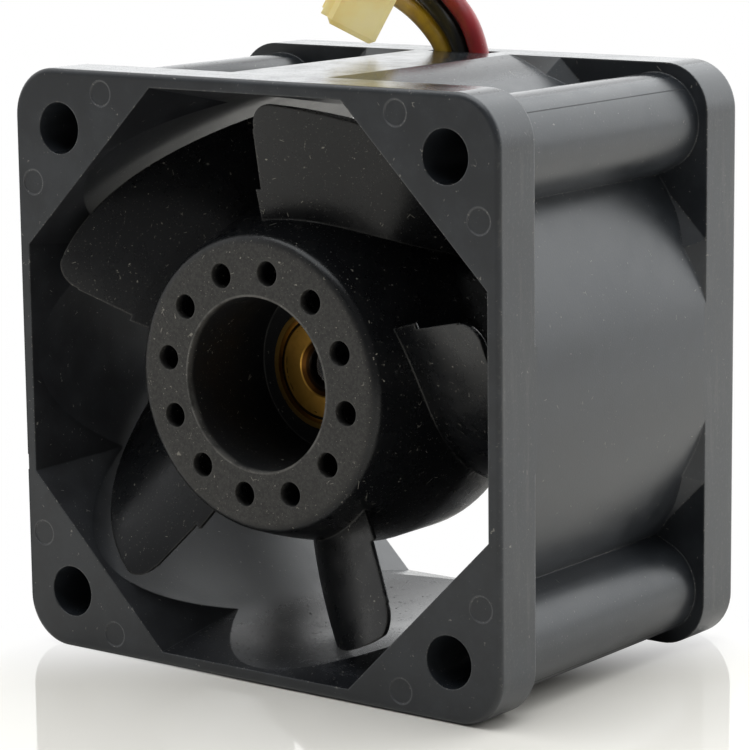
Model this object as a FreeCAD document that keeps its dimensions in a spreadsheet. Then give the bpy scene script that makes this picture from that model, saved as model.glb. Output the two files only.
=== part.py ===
import FreeCAD, Part
import math
import os
import Sketcher
from FreeCAD import Placement, Rotation, Vector

# Server fan module, 40 mm square and 28 mm deep, in millimetres.
# Every piece is drawn as seen from the front: x to the right, y up, z towards the viewer,
# with the origin on the fan's axis half way through the depth. A common placement then
# stands the fan up: +Z up, the air inlet facing -Y, and the origin under the fan's middle.
# Depths are counted from the front face of the frame towards the rear.

SIZES = {
    # Frame moulding
    "frame_side": 40.0,
    "frame_depth": 28.0,
    "corner_radius": 3.3,
    "flange_thickness": 3.84,
    "flange_rim": 0.9,
    "edge_round": 0.35,
    "cut_margin": 1.0,
    "tube_bulge": 0.4,
    "bore_radius": 19.0,
    "mouth_run": 7.8,
    "mouth_run_out": 0.1,
    "facet_run": 1.16,
    "hole_pitch": 32.0,
    "hole_radius": 1.75,
    "pillar_radius": 3.3,
    "pillar_foot": 0.8,
    "web_angle": 7.5,
    "mark_radius": 0.85,
    "mark_depth": 0.06,
    "mark_spread": 3.8,
    "mark_offset": 2.5,
    "nick_width": 1.1,
    "nick_depth": 0.25,
    "nick_drop": 6.8,
    # Motor base and its spokes
    "base_radius": 10.9,
    "base_wall": 0.8,
    "base_inset": 0.6,
    "base_height": 5.3,
    "base_floor_thickness": 1.4,
    "ledge_width": 0.8,
    "boss_radius": 5.4,
    "boss_gap": 0.4,
    "spoke_width": 2.4,
    "spoke_inset": 0.6,
    "spoke_run": 3.4,
    "channel_wall": 0.9,
    "cap_radius": 4.5,
    "cap_thickness": 0.7,
    "cap_spigot": 0.9,
    "floor_hole_radius": 3.4,
    # Impeller hub
    "hub_face_depth": 0.8,
    "hub_face_radius": 9.75,
    "hub_round": 0.9,
    "hub_crown": 50.0,
    "hub_radius": 12.2,
    "hub_cone_depth": 10.0,
    "hub_rim_depth": 14.3,
    "skirt_gap": 0.5,
    "skirt_wall": 0.75,
    "well_radius": 5.8,
    "well_floor_thickness": 1.4,
    "balance_count": 12,
    "balance_pitch_radius": 7.5,
    "balance_hole_radius": 0.83,
    "balance_hole_run": 4.0,
    "balance_first_angle": 111.6,
    "core_front_depth": 5.3,
    "core_inner_radius": 7.0,
    "core_front_radius": 8.6,
    "core_rear_radius": 9.5,
    # Blades: the same measures at the hub and at the tip
    "blade_count": 5,
    "blade_tip_radius": 18.4,
    "blade_root_radius": 11.0,
    "blade_thickness": 0.95,
    "blade_edge": 0.3,
    "tip_lead_angle": 20.0,
    "root_lead_angle": 23.7,
    "tip_lead_depth": 1.0,
    "root_lead_depth": 3.1,
    "trail_depth": 14.1,
    "tip_wrap": 49.2,
    "root_wrap": 62.0,
    "tip_entry_slope": 4.0,
    "root_entry_slope": 15.0,
    "tip_exit_slope": 51.0,
    "root_exit_slope": 72.0,
    "tip_entry_reach": 7.0,
    "root_entry_reach": 6.0,
    "tip_exit_reach": 8.5,
    "root_exit_reach": 7.0,
    "tip_corner_round": 0.8,
    "step_radius": 12.6,
    "step_run": 0.4,
    "step_reach": 3.0,
    "root_sink": 0.3,
    "tip_margin": 0.2,
    # Rotor: yoke, magnet, bush, shaft
    "yoke_inset": 0.6,
    "yoke_wall": 0.6,
    "yoke_round": 0.4,
    "magnet_inset": 0.4,
    "magnet_front_gap": 1.0,
    "magnet_run": 8.8,
    "magnet_wall": 1.2,
    "glue_gap": 0.02,
    "bush_flange_radius": 4.2,
    "bush_flange_run": 0.8,
    "bush_groove_radius": 3.55,
    "bush_groove_width": 0.3,
    "bush_groove_run": 0.5,
    "bush_body_radius": 3.0,
    "bush_tail": 1.4,
    "bush_mouth_radius": 2.0,
    "bush_mouth_run": 0.35,
    "shaft_radius": 1.5,
    "shaft_inset": 0.1,
    "shaft_end_gap": 0.4,
    "shaft_chamfer": 0.2,
    "clip_radius": 2.6,
    "clip_thickness": 0.4,
    "clip_groove": 0.3,
    "washer_thickness": 0.2,
    "washer_radius": 2.4,
    # Ball bearings
    "bearing_radius": 3.5,
    "bearing_width": 3.0,
    "bearing_inset": 1.6,
    "bearing_spread": 4.6,
    "race_wall": 0.5,
    "ball_radius": 0.6,
    "ball_count": 7,
    "ball_clearance": 0.02,
    "shield_thickness": 0.15,
    "shield_inset": 0.1,
    "shield_radius": 2.15,
    "fit_clearance": 0.01,
    "tube_shoulder": 0.35,
    "bearing_tube_radius": 4.3,
    "tube_lip": 1.2,
    "spring_wire": 0.3,
    "spring_radius": 2.2,
    "spring_turns": 3.0,
    # Stator
    "air_gap": 0.32,
    "core_lift": 4.0,
    "core_run": 5.4,
    "core_ring_wall": 0.9,
    "pole_width": 2.4,
    "pole_count": 4,
    "shoe_wall": 0.9,
    "slot_width": 1.9,
    "insulator_plate": 0.7,
    "insulator_rim": 1.1,
    "insulator_rim_wall": 0.4,
    "insulator_overlap": 0.25,
    "coil_gap": 0.05,
    "coil_build": 0.9,
    "coil_round": 0.6,
    "pin_radius": 0.25,
    "pin_pitch_radius": 6.0,
    "pin_boss_radius": 0.7,
    "pin_stand": 0.5,
    # Circuit board and its parts
    "board_thickness": 0.8,
    "board_clearance": 0.1,
    "chip_side": 3.0,
    "chip_height": 0.9,
    "chip_radius": 7.6,
    "chip_angle": 205.0,
    "sensor_length": 1.7,
    "sensor_width": 0.9,
    "sensor_height": 0.8,
    "sensor_radius": 8.9,
    "sensor_angle": 45.0,
    "capacitor_length": 1.6,
    "capacitor_width": 0.8,
    "capacitor_height": 0.8,
    "capacitor_radius": 7.6,
    "capacitor_first_angle": 300.0,
    "capacitor_step": 25.0,
    "capacitor_count": 3,
    # Leads
    "lead_radius": 0.68,
    "lead_pitch": 1.42,
    "lead_middle": 0.05,
    "lead_clearance": 0.12,
    "lead_start": 8.3,
    "lead_exit": 15.2,
    "slot_relief": 0.7,
    "solder_run": 1.1,
    "solder_height": 0.9,
    "solder_width": 0.9,
    # Connector on the ends of the leads
    "plug_width": 7.9,
    "plug_thickness": 3.7,
    "plug_height": 7.6,
    "plug_pitch": 2.0,
    "plug_chamfer": 0.35,
    "plug_entry_radius": 0.78,
    "plug_entry_run": 1.4,
    "plug_cavity_width": 1.5,
    "plug_cavity_depth": 1.8,
    "plug_key_width": 0.9,
    "plug_key_height": 0.5,
    "plug_window_height": 1.4,
    "plug_window_drop": 2.6,
    "plug_side_place": -4.76,
    "plug_rear_place": 7.82,
    "plug_rest": 0.8,
    "plug_lean": 28.0,
    "plug_turn": 37.2,
    "terminal_side": 1.3,
    "terminal_run": 5.0,
    "terminal_wall": 0.2,
}

LEAD_NAMES = ("yellow", "black", "red")

# Route of the middle lead from the frame to the plug, counted from the place where it leaves
# the frame's top face, and the turn of the row of leads at each corner of the route
LEAD_ROUTE = [
    (-3.35, 0.41, 3.5), (-7.85, 1.71, 5.35), (-13.65, 2.41, 7.1), (-16.3, 2.01, 12.2),
    (-14.15, 1.01, 17.3), (-8.95, -0.29, 19.4), (-3.65, -1.59, 17.2),
]
ROW_TWIST = [0, 0, 0, 4, 10, 17, 25, 33, 41, 49, 56]

OCTAGON_COS = math.cos(math.pi / 8)
OCTAGON_TAN = math.tan(math.pi / 8)
TOLERANCE = 1e-4

doc = FreeCAD.newDocument("server_fan_module")
sheet = doc.addObject("Spreadsheet::Sheet", "sizes")
for row, (alias, number) in enumerate(SIZES.items(), start=1):
    sheet.set("A%d" % row, alias)
    sheet.set("B%d" % row, str(number))
    sheet.setAlias("B%d" % row, alias)
doc.recompute()


class Dim:
    """A number together with the sheet expression that gives it."""

    def __init__(self, value, text):
        self.value = value
        self.text = text

    def __add__(self, other):
        return Dim(self.value + value_of(other), "(%s + %s)" % (self.text, text_of(other)))

    def __sub__(self, other):
        return Dim(self.value - value_of(other), "(%s - %s)" % (self.text, text_of(other)))

    def __mul__(self, other):
        return Dim(self.value * value_of(other), "(%s * %s)" % (self.text, text_of(other)))

    def __truediv__(self, other):
        return Dim(self.value / value_of(other), "(%s / %s)" % (self.text, text_of(other)))

    def __neg__(self):
        return Dim(-self.value, "(-%s)" % self.text)

    __radd__ = __add__
    __rmul__ = __mul__


def value_of(item):
    return item.value if isinstance(item, Dim) else item


def text_of(item):
    return item.text if isinstance(item, Dim) else "(%r)" % item


def size(alias):
    return Dim(sheet.get(alias), "sizes." + alias)


def bind(thing, name, dim):
    """Set a property from a size and keep it tied to the sheet."""
    if isinstance(dim, Dim):
        thing.setExpression(name, dim.text)
    else:
        setattr(thing, name, dim)


# Places used by more than one piece

half_side = size("frame_side") / 2
front = size("frame_depth") / 2
rear = -front


def at_depth(alias):
    """Height z of a depth that is counted from the front face."""
    return front - size(alias)


tube_radius = half_side + size("tube_bulge")
flange_back = front - size("flange_thickness")
mouth_inradius = half_side - size("flange_rim")
hole_place = size("hole_pitch") / 2
skirt_radius = size("base_radius")
yoke_radius = skirt_radius - size("skirt_wall")
yoke_bore = yoke_radius - size("yoke_wall")
magnet_radius = yoke_bore - size("glue_gap")
magnet_bore = magnet_radius - size("magnet_wall")
core_radius = magnet_bore - size("air_gap")

# Heights of the motor's pieces, each counted from the piece that it stands on

base_rear = rear + size("base_inset")
base_floor = base_rear + size("base_floor_thickness")
base_rim = base_rear + size("base_height")
spoke_rear = base_rear + size("spoke_inset")
board_front = spoke_rear + size("spoke_run")
board_rear = board_front - size("board_thickness")
core_rear = board_front + size("core_lift")
core_front = core_rear + size("core_run")
boss_front = core_rear - size("insulator_plate") - size("boss_gap")
skirt_rear = base_rim + size("skirt_gap")
yoke_rear = skirt_rear + size("yoke_inset")
magnet_rear = yoke_rear + size("magnet_inset")
magnet_front = magnet_rear + size("magnet_run")
yoke_front = magnet_front + size("magnet_front_gap") + size("yoke_wall")
bush_rear = yoke_front - size("bush_tail")
well_floor = yoke_front + size("well_floor_thickness")
shaft_front = well_floor - size("shaft_inset")
shaft_rear = base_floor + size("shaft_end_gap")
rear_bearing_low = base_floor + size("bearing_inset")
rear_bearing_top = rear_bearing_low + size("bearing_width")
front_bearing_low = rear_bearing_top + size("bearing_spread")
front_bearing_top = front_bearing_low + size("bearing_width")
bearing_tube_front = front_bearing_top + size("tube_lip")

# Radii and places inside the motor

insulator_ring = size("bearing_tube_radius") + size("core_ring_wall") + size("insulator_overlap")
pole_half_width = size("pole_width") / 2
insulator_wall = core_radius - size("shoe_wall") + size("insulator_overlap")
coil_room = insulator_wall - size("insulator_rim_wall")
base_inner = size("base_radius") - size("base_wall")
ledge_inner = base_inner - size("ledge_width")
lead_place = board_rear - size("lead_radius") - size("fit_clearance")
channel_half = size("lead_pitch") + size("lead_radius") + size("lead_clearance")
tube_inner = size("bearing_radius") + size("fit_clearance")
ball_pitch = (size("bearing_radius") + size("shaft_radius")) / 2


# Drawing helpers

def new_body(name):
    return doc.addObject("PartDesign::Body", name)


def plane_of(body, role):
    return [item for item in body.Origin.OriginFeatures if item.Role == role][0]


def new_sketch(body, name, role="XY_Plane", offset=None):
    sketch = body.newObject("Sketcher::SketchObject", name)
    sketch.AttachmentSupport = [(plane_of(body, role), "")]
    sketch.MapMode = "FlatFace"
    if offset is not None:
        sketch.setExpression(".AttachmentOffset.Base.z", text_of(offset))
    return sketch


def pin(sketch, geometry, vertex, x, y):
    """Hold a point of the sketch at x, y from the sketch's origin."""
    for kind, axis, place in (("DistanceX", -2, x), ("DistanceY", -1, y)):
        if isinstance(place, Dim):
            index = sketch.addConstraint(Sketcher.Constraint(kind, -1, 1, geometry, vertex, place.value))
            sketch.setExpression("Constraints[%d]" % index, place.text)
        elif place == 0:
            sketch.addConstraint(Sketcher.Constraint("PointOnObject", geometry, vertex, axis))
        else:
            sketch.addConstraint(Sketcher.Constraint(kind, -1, 1, geometry, vertex, place))


def flat_point(x, y):
    return Vector(value_of(x), value_of(y), 0)


def arc_through(start, end, radius):
    """Arc from start to end that bulges to the right of the way from start to end."""
    middle = (start + end) * 0.5
    chord = end - start
    side = Vector(chord.y, -chord.x, 0).normalize()
    drop = math.sqrt(radius * radius - chord.Length * chord.Length / 4)
    centre = middle - side * drop
    return Part.Arc(start, centre + side * radius, end)


def draw_outline(sketch, points, arcs=None):
    """Closed outline with every corner held; arcs gives the radius of the side after a corner."""
    arcs = arcs or {}
    sides = []
    for index, (x, y) in enumerate(points):
        start = flat_point(x, y)
        end = flat_point(*points[(index + 1) % len(points)])
        if index in arcs:
            curve = arc_through(start, end, value_of(arcs[index]))
            side = sketch.addGeometry(curve, False)
            reversed_ends = sketch.Geometry[side].StartPoint.distanceToPoint(start) > TOLERANCE
            sides.append((side, 2, 1) if reversed_ends else (side, 1, 2))
        else:
            sides.append((sketch.addGeometry(Part.LineSegment(start, end), False), 1, 2))
    for index, (side, first, last) in enumerate(sides):
        following = sides[(index + 1) % len(sides)]
        sketch.addConstraint(Sketcher.Constraint("Coincident", side, last, following[0], following[1]))
    for (side, first, last), (x, y) in zip(sides, points):
        pin(sketch, side, first, x, y)
    for index, radius in arcs.items():
        held = sketch.addConstraint(Sketcher.Constraint("Radius", sides[index][0], value_of(radius)))
        if isinstance(radius, Dim):
            sketch.setExpression("Constraints[%d]" % held, radius.text)


def draw_circle(sketch, x, y, radius):
    circle = Part.Circle(flat_point(x, y), Vector(0, 0, 1), value_of(radius))
    geometry = sketch.addGeometry(circle, False)
    pin(sketch, geometry, 3, x, y)
    held = sketch.addConstraint(Sketcher.Constraint("Radius", geometry, value_of(radius)))
    if isinstance(radius, Dim):
        sketch.setExpression("Constraints[%d]" % held, radius.text)


def draw_rectangle(sketch, left, right, low, high):
    draw_outline(sketch, [(left, low), (right, low), (right, high), (left, high)])


def draw_octagon(sketch, inradius):
    corner = inradius * OCTAGON_TAN
    draw_outline(sketch, [
        (inradius, -corner), (inradius, corner), (corner, inradius), (-corner, inradius),
        (-inradius, corner), (-inradius, -corner), (-corner, -inradius), (corner, -inradius),
    ])


def draw_rounded_rectangle(sketch, half_width, half_height, radius):
    near_x = half_width - radius
    near_y = half_height - radius
    draw_outline(sketch, [
        (half_width, -near_y), (half_width, near_y), (near_x, half_height), (-near_x, half_height),
        (-half_width, near_y), (-half_width, -near_y), (-near_x, -half_height), (near_x, -half_height),
    ], {1: radius, 3: radius, 5: radius, 7: radius})


def pad(body, sketch, name, length, reverse=False, symmetric=False):
    feature = body.newObject("PartDesign::Pad", name)
    feature.Profile = sketch
    feature.Reversed = reverse
    feature.Midplane = symmetric
    bind(feature, "Length", length)
    return feature


def pocket(body, sketch, name, length=None, reverse=False, symmetric=False):
    feature = body.newObject("PartDesign::Pocket", name)
    feature.Profile = sketch
    feature.Reversed = reverse
    feature.Midplane = symmetric
    if length is None:
        feature.Type = "ThroughAll"
    else:
        bind(feature, "Length", length)
    return feature


def ring_of(body, name, features, count):
    """Repeat features evenly about the fan's axis."""
    pattern = body.newObject("PartDesign::PolarPattern", name)
    pattern.Originals = features
    pattern.Axis = (features[0].Profile[0], ["N_Axis"])
    pattern.Angle = 360
    bind(pattern, "Occurrences", count)
    body.Tip = pattern
    return pattern


def loft(body, kind, name, first, second):
    feature = body.newObject("PartDesign::" + kind, name)
    feature.Profile = first
    feature.Sections = [second]
    feature.Ruled = True
    return feature


def turned(name, points, arcs=None):
    """Piece turned about the fan's axis from an outline of radius and height."""
    body = new_body(name)
    outline = new_sketch(body, name + "_outline", "XZ_Plane")
    draw_outline(outline, points, arcs)
    turn = body.newObject("PartDesign::Revolution", name + "_turned")
    turn.Profile = outline
    turn.ReferenceAxis = (outline, ["V_Axis"])
    turn.Angle = 360
    body.Tip = turn
    return body


def turned_ring(name, inner, outer, low, high):
    return turned(name, [(inner, low), (outer, low), (outer, high), (inner, high)])


def circle_edges(feature, radius, height):
    """Names of the round edges of this radius that lie at this height."""
    names = []
    for index, edge in enumerate(feature.Shape.Edges, start=1):
        curve = edge.Curve
        if curve.TypeId != "Part::GeomCircle":
            continue
        same_radius = abs(curve.Radius - value_of(radius)) < TOLERANCE
        if same_radius and abs(curve.Center.z - value_of(height)) < TOLERANCE:
            names.append("Edge%d" % index)
    return names


def round_edges(body, base, name, edges, radius):
    fillet = body.newObject("PartDesign::Fillet", name)
    fillet.Base = (base, edges)
    bind(fillet, "Radius", radius)
    body.Tip = fillet
    return fillet


def axis_cylinder(name, radius, x, y, low, height):
    """Round bar along the fan's axis, its centre at x, y."""
    bar = doc.addObject("Part::Cylinder", name)
    bind(bar, "Radius", radius)
    bind(bar, "Height", height)
    bar.setExpression("Placement.Base.x", text_of(x))
    bar.setExpression("Placement.Base.y", text_of(y))
    bar.setExpression("Placement.Base.z", text_of(low))
    return bar


def polar(radius, angle, offset=0.0):
    """Point on a circle about the fan's axis, as two expressions in the sheet's sizes."""
    turn = "(%s + %r)" % (text_of(angle), offset)
    radians = math.radians(value_of(angle) + offset)
    across = Dim(value_of(radius) * math.cos(radians), "(%s * cos(%s))" % (text_of(radius), turn))
    upward = Dim(value_of(radius) * math.sin(radians), "(%s * sin(%s))" % (text_of(radius), turn))
    return across, upward


pieces = []


def finish(piece, label):
    """Name a finished piece and stand it up in the part's frame."""
    piece.Label = label
    piece.Placement = Placement(Vector(0, 0, half_side.value), Rotation(Vector(1, 0, 0), 90))
    piece.setExpression("Placement.Base.z", half_side.text)
    pieces.append(piece)


def finish_in_place(piece, label, placement):
    """Name a finished piece that has a place of its own in the part's frame."""
    piece.Label = label
    piece.Placement = placement
    pieces.append(piece)


def group_of(name, members):
    group = doc.addObject("Part::Compound", name)
    group.Links = members
    return group


# Frame moulding: two square flanges on a tube, with corner pillars round the screw holes

def draw_flange(sketch):
    near = half_side - size("corner_radius")
    radius = size("corner_radius")
    draw_outline(sketch, [
        (half_side, -near), (half_side, near), (near, half_side), (-near, half_side),
        (-half_side, near), (-half_side, -near), (-near, -half_side), (near, -half_side),
    ], {1: radius, 3: radius, 5: radius, 7: radius})


def draw_tube(sketch):
    """Round tube whose four sides are cut flat by the frame's square outline."""
    radius = tube_radius
    flat = Dim(
        math.sqrt(radius.value ** 2 - half_side.value ** 2),
        "sqrt(%s * %s - %s * %s)" % (radius.text, radius.text, half_side.text, half_side.text),
    )
    draw_outline(sketch, [
        (half_side, -flat), (half_side, flat), (flat, half_side), (-flat, half_side),
        (-half_side, flat), (-half_side, -flat), (-flat, -half_side), (flat, -half_side),
    ], {1: radius, 3: radius, 5: radius, 7: radius})


def draw_pillar(sketch):
    """Round pillar with two short webs that run onto the tube."""
    radius = size("pillar_radius")
    low_x, low_y = polar(tube_radius, -size("web_angle"), 45.0)
    reach = math.hypot(hole_place.value - low_x.value, hole_place.value - low_y.value)
    towards = math.atan2(hole_place.value - low_y.value, hole_place.value - low_x.value)
    turn = math.asin(radius.value / reach)
    run = reach * math.cos(turn)
    start = Vector(low_x.value, low_y.value, 0)
    touch = start + Vector(math.cos(towards - turn), math.sin(towards - turn), 0) * run
    mirror_start = Vector(start.y, start.x, 0)
    mirror_touch = Vector(touch.y, touch.x, 0)
    centre = flat_point(hole_place, hole_place)
    outermost = centre + Vector(1, 1, 0).normalize() * radius.value
    low_web = sketch.addGeometry(Part.LineSegment(start, touch), False)
    round_side = sketch.addGeometry(Part.Arc(touch, outermost, mirror_touch), False)
    high_web = sketch.addGeometry(Part.LineSegment(mirror_touch, mirror_start), False)
    chord = sketch.addGeometry(Part.LineSegment(mirror_start, start), False)
    sketch.addConstraint(Sketcher.Constraint("Tangent", low_web, 2, round_side, 1))
    sketch.addConstraint(Sketcher.Constraint("Tangent", round_side, 2, high_web, 1))
    sketch.addConstraint(Sketcher.Constraint("Coincident", high_web, 2, chord, 1))
    sketch.addConstraint(Sketcher.Constraint("Coincident", chord, 2, low_web, 1))
    pin(sketch, low_web, 1, low_x, low_y)
    pin(sketch, high_web, 2, low_y, low_x)
    pin(sketch, round_side, 3, hole_place, hole_place)
    held = sketch.addConstraint(Sketcher.Constraint("Radius", round_side, radius.value))
    sketch.setExpression("Constraints[%d]" % held, radius.text)


def make_frame_shell(body):
    """Flanges, tube, corner pillars and the facets that lead the tube into the flanges."""
    for name, height in (("front_flange", flange_back), ("rear_flange", rear)):
        outline = new_sketch(body, name + "_outline", offset=height)
        draw_flange(outline)
        pad(body, outline, name, size("flange_thickness"))
    tube_outline = new_sketch(body, "tube_outline")
    draw_tube(tube_outline)
    pad(body, tube_outline, "tube", size("frame_depth"), symmetric=True)
    pillar_outline = new_sketch(body, "pillar_outline")
    draw_pillar(pillar_outline)
    pillar = pad(body, pillar_outline, "pillar", size("frame_depth"), symmetric=True)
    ring_of(body, "pillars", [pillar], 4)
    for name, side in (("front_facets", 1), ("rear_facets", -1)):
        narrow = new_sketch(body, name + "_start", offset=(flange_back - size("facet_run")) * side)
        draw_octagon(narrow, tube_radius * OCTAGON_COS)
        wide = new_sketch(body, name + "_end", offset=flange_back * side)
        draw_octagon(wide, half_side)
        loft(body, "AdditiveLoft", name, narrow, wide)
    bore_outline = new_sketch(body, "bore_outline")
    draw_circle(bore_outline, 0, 0, size("bore_radius"))
    body.Tip = pocket(body, bore_outline, "bore", size("frame_depth") * 2, symmetric=True)


def octagon_corners(inradius, height):
    radius = inradius / OCTAGON_COS
    angles = [math.pi / 8 + math.pi / 4 * index for index in range(8)]
    return [Vector(radius * math.cos(angle), radius * math.sin(angle), height) for angle in angles]


def octagon_frustum(name, wide_inradius, wide_height, narrow_inradius, narrow_height):
    """Eight-sided frustum with true flat sides."""
    wide = octagon_corners(value_of(wide_inradius), value_of(wide_height))
    narrow = octagon_corners(value_of(narrow_inradius), value_of(narrow_height))
    rings = [wide, narrow]
    for index in range(8):
        after = (index + 1) % 8
        rings.append([wide[index], wide[after], narrow[after], narrow[index]])
    faces = [Part.Face(Part.makePolygon(ring + ring[:1])) for ring in rings]
    solid = Part.Solid(Part.Shell(faces))
    if solid.Volume < 0:
        solid.reverse()
    frustum = doc.addObject("Part::Feature", name)
    frustum.Shape = solid
    return frustum


def open_mouths(shell):
    """Octagonal mouths whose corners run out on the round bore."""
    mouths = []
    narrow_inradius = (size("bore_radius") - size("mouth_run_out")) * OCTAGON_COS
    for name, side in (("front_mouth", 1), ("rear_mouth", -1)):
        mouths.append(octagon_frustum(name, mouth_inradius, front * side, narrow_inradius,
                                      (front - size("mouth_run")) * side))
    opened = doc.addObject("Part::Cut", "frame_with_mouths")
    opened.Base = shell
    opened.Tool = group_of("mouths", mouths)
    return opened


def cut_screw_holes(body):
    hole_outline = new_sketch(body, "screw_hole_outline")
    for x_side in (-1, 1):
        for y_side in (-1, 1):
            draw_circle(hole_outline, hole_place * x_side, hole_place * y_side, size("hole_radius"))
    pocket(body, hole_outline, "screw_holes", size("frame_depth") * 2, symmetric=True)


def add_motor_base(body):
    """Cup that carries the motor, held in the tube by three spokes."""
    cup_outline = new_sketch(body, "base_outline", offset=base_rear)
    draw_circle(cup_outline, 0, 0, size("base_radius"))
    pad(body, cup_outline, "base_cup", size("base_height"))
    spoke_outline = new_sketch(body, "spoke_outline", offset=spoke_rear)
    half = size("spoke_width") / 2
    overlap = tube_radius - size("bore_radius")
    for angle in (210.0, 330.0):
        radians = math.radians(angle)
        along = Vector(math.cos(radians), math.sin(radians), 0)
        across = Vector(-along.y, along.x, 0)
        near = size("base_radius") - overlap
        far = size("bore_radius") + overlap / 2
        draw_outline(spoke_outline, [
            (near * along.x - half * across.x, near * along.y - half * across.y),
            (far * along.x - half * across.x, far * along.y - half * across.y),
            (far * along.x + half * across.x, far * along.y + half * across.y),
            (near * along.x + half * across.x, near * along.y + half * across.y),
        ])
    pad(body, spoke_outline, "spokes", size("spoke_run"))
    channel_outline = new_sketch(body, "lead_spoke_outline", offset=spoke_rear)
    reach = channel_half + size("channel_wall")
    middle = size("lead_middle")
    draw_rectangle(channel_outline, middle - reach, middle + reach,
                   size("base_radius") - overlap, size("bore_radius") + overlap / 2)
    pad(body, channel_outline, "lead_spoke", size("spoke_run"))


def hollow_motor_base(body):
    """Room for the circuit board, the seat of the bearing tube and the cap's recess."""
    board_room = new_sketch(body, "board_room_outline", offset=base_rim)
    draw_circle(board_room, 0, 0, base_inner)
    draw_circle(board_room, 0, 0, size("boss_radius"))
    pocket(body, board_room, "board_room", base_rim - board_rear)
    wiring_room = new_sketch(body, "wiring_room_outline", offset=board_rear)
    draw_circle(wiring_room, 0, 0, ledge_inner)
    draw_circle(wiring_room, 0, 0, size("boss_radius"))
    pocket(body, wiring_room, "wiring_room", board_rear - base_floor)
    boss_outline = new_sketch(body, "boss_outline", offset=base_floor)
    draw_circle(boss_outline, 0, 0, size("boss_radius"))
    pad(body, boss_outline, "boss", boss_front - base_floor)
    seat_outline = new_sketch(body, "tube_seat_outline", offset=boss_front)
    draw_circle(seat_outline, 0, 0, size("bearing_tube_radius"))
    pocket(body, seat_outline, "tube_seat", boss_front - base_floor)
    floor_hole = new_sketch(body, "floor_hole_outline", offset=base_floor)
    draw_circle(floor_hole, 0, 0, size("floor_hole_radius"))
    pocket(body, floor_hole, "floor_hole", size("base_floor_thickness"))
    cap_recess = new_sketch(body, "cap_recess_outline", offset=base_rear)
    draw_circle(cap_recess, 0, 0, size("cap_radius") + size("fit_clearance"))
    pocket(body, cap_recess, "cap_recess", size("cap_thickness"), reverse=True)


def cut_lead_way(body):
    """Channel along the upper spoke and the slot in the rear rim where the leads come out."""
    room = size("lead_radius") + size("lead_clearance")
    middle = size("lead_middle")
    channel_outline = new_sketch(body, "channel_outline", offset=board_rear)
    draw_rectangle(channel_outline, middle - channel_half, middle + channel_half,
                   size("boss_radius") + size("channel_wall"), size("bore_radius"))
    pocket(body, channel_outline, "channel", board_rear - base_floor)
    open_side = new_sketch(body, "open_channel_outline", offset=base_floor)
    draw_rectangle(open_side, middle - channel_half, middle + channel_half,
                   size("base_radius"), size("bore_radius"))
    pocket(body, open_side, "open_channel", size("base_floor_thickness"))
    slot_outline = new_sketch(body, "lead_slot_outline", offset=lead_place + room)
    draw_rectangle(slot_outline, middle - channel_half - size("slot_relief"), middle + channel_half,
                   size("bore_radius") - size("channel_wall"), half_side + size("channel_wall"))
    pocket(body, slot_outline, "lead_slot", room * 2)


def add_ejector_marks(body):
    """Shallow round marks that the ejector pins left on the front corner plates."""
    marks = new_sketch(body, "ejector_marks_outline", offset=front)
    near = hole_place - size("mark_spread")
    far = hole_place + size("mark_offset")
    for x_side in (-1, 1):
        for y_side in (-1, 1):
            draw_circle(marks, far * x_side, near * y_side, size("mark_radius"))
            draw_circle(marks, near * x_side, far * y_side, size("mark_radius"))
    pocket(body, marks, "ejector_marks", size("mark_depth"))


def round_outer_edges(body):
    """Small round all along the outer edge of both faces."""
    doc.recompute()
    tip = body.Tip
    outer_edges = []
    for index, edge in enumerate(tip.Shape.Edges, start=1):
        box = edge.BoundBox
        on_face = box.ZLength < TOLERANCE and abs(abs(box.ZMin) - front.value) < TOLERANCE
        reach = max(abs(box.XMin), abs(box.XMax), abs(box.YMin), abs(box.YMax))
        if on_face and reach > half_side.value - TOLERANCE:
            outer_edges.append("Edge%d" % index)
    round_edges(body, tip, "outer_rounds", outer_edges, size("edge_round"))


def cut_edge_nick(body):
    """Small nick in the left edge of the front flange."""
    nick = new_sketch(body, "nick_outline", offset=front)
    draw_rectangle(nick, -half_side, -half_side + size("nick_depth"),
                   -size("nick_drop") - size("nick_width"), -size("nick_drop"))
    body.Tip = pocket(body, nick, "edge_nick", size("flange_thickness"))


def make_fan_frame():
    shell = new_body("frame_shell")
    make_frame_shell(shell)
    body = new_body("fan_frame")
    body.BaseFeature = open_mouths(shell)
    cut_screw_holes(body)
    add_motor_base(body)
    hollow_motor_base(body)
    cut_lead_way(body)
    add_ejector_marks(body)
    round_outer_edges(body)
    cut_edge_nick(body)
    finish(body, "fan_frame")


# Impeller: turned hub with a deep well and five cambered blades

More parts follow.
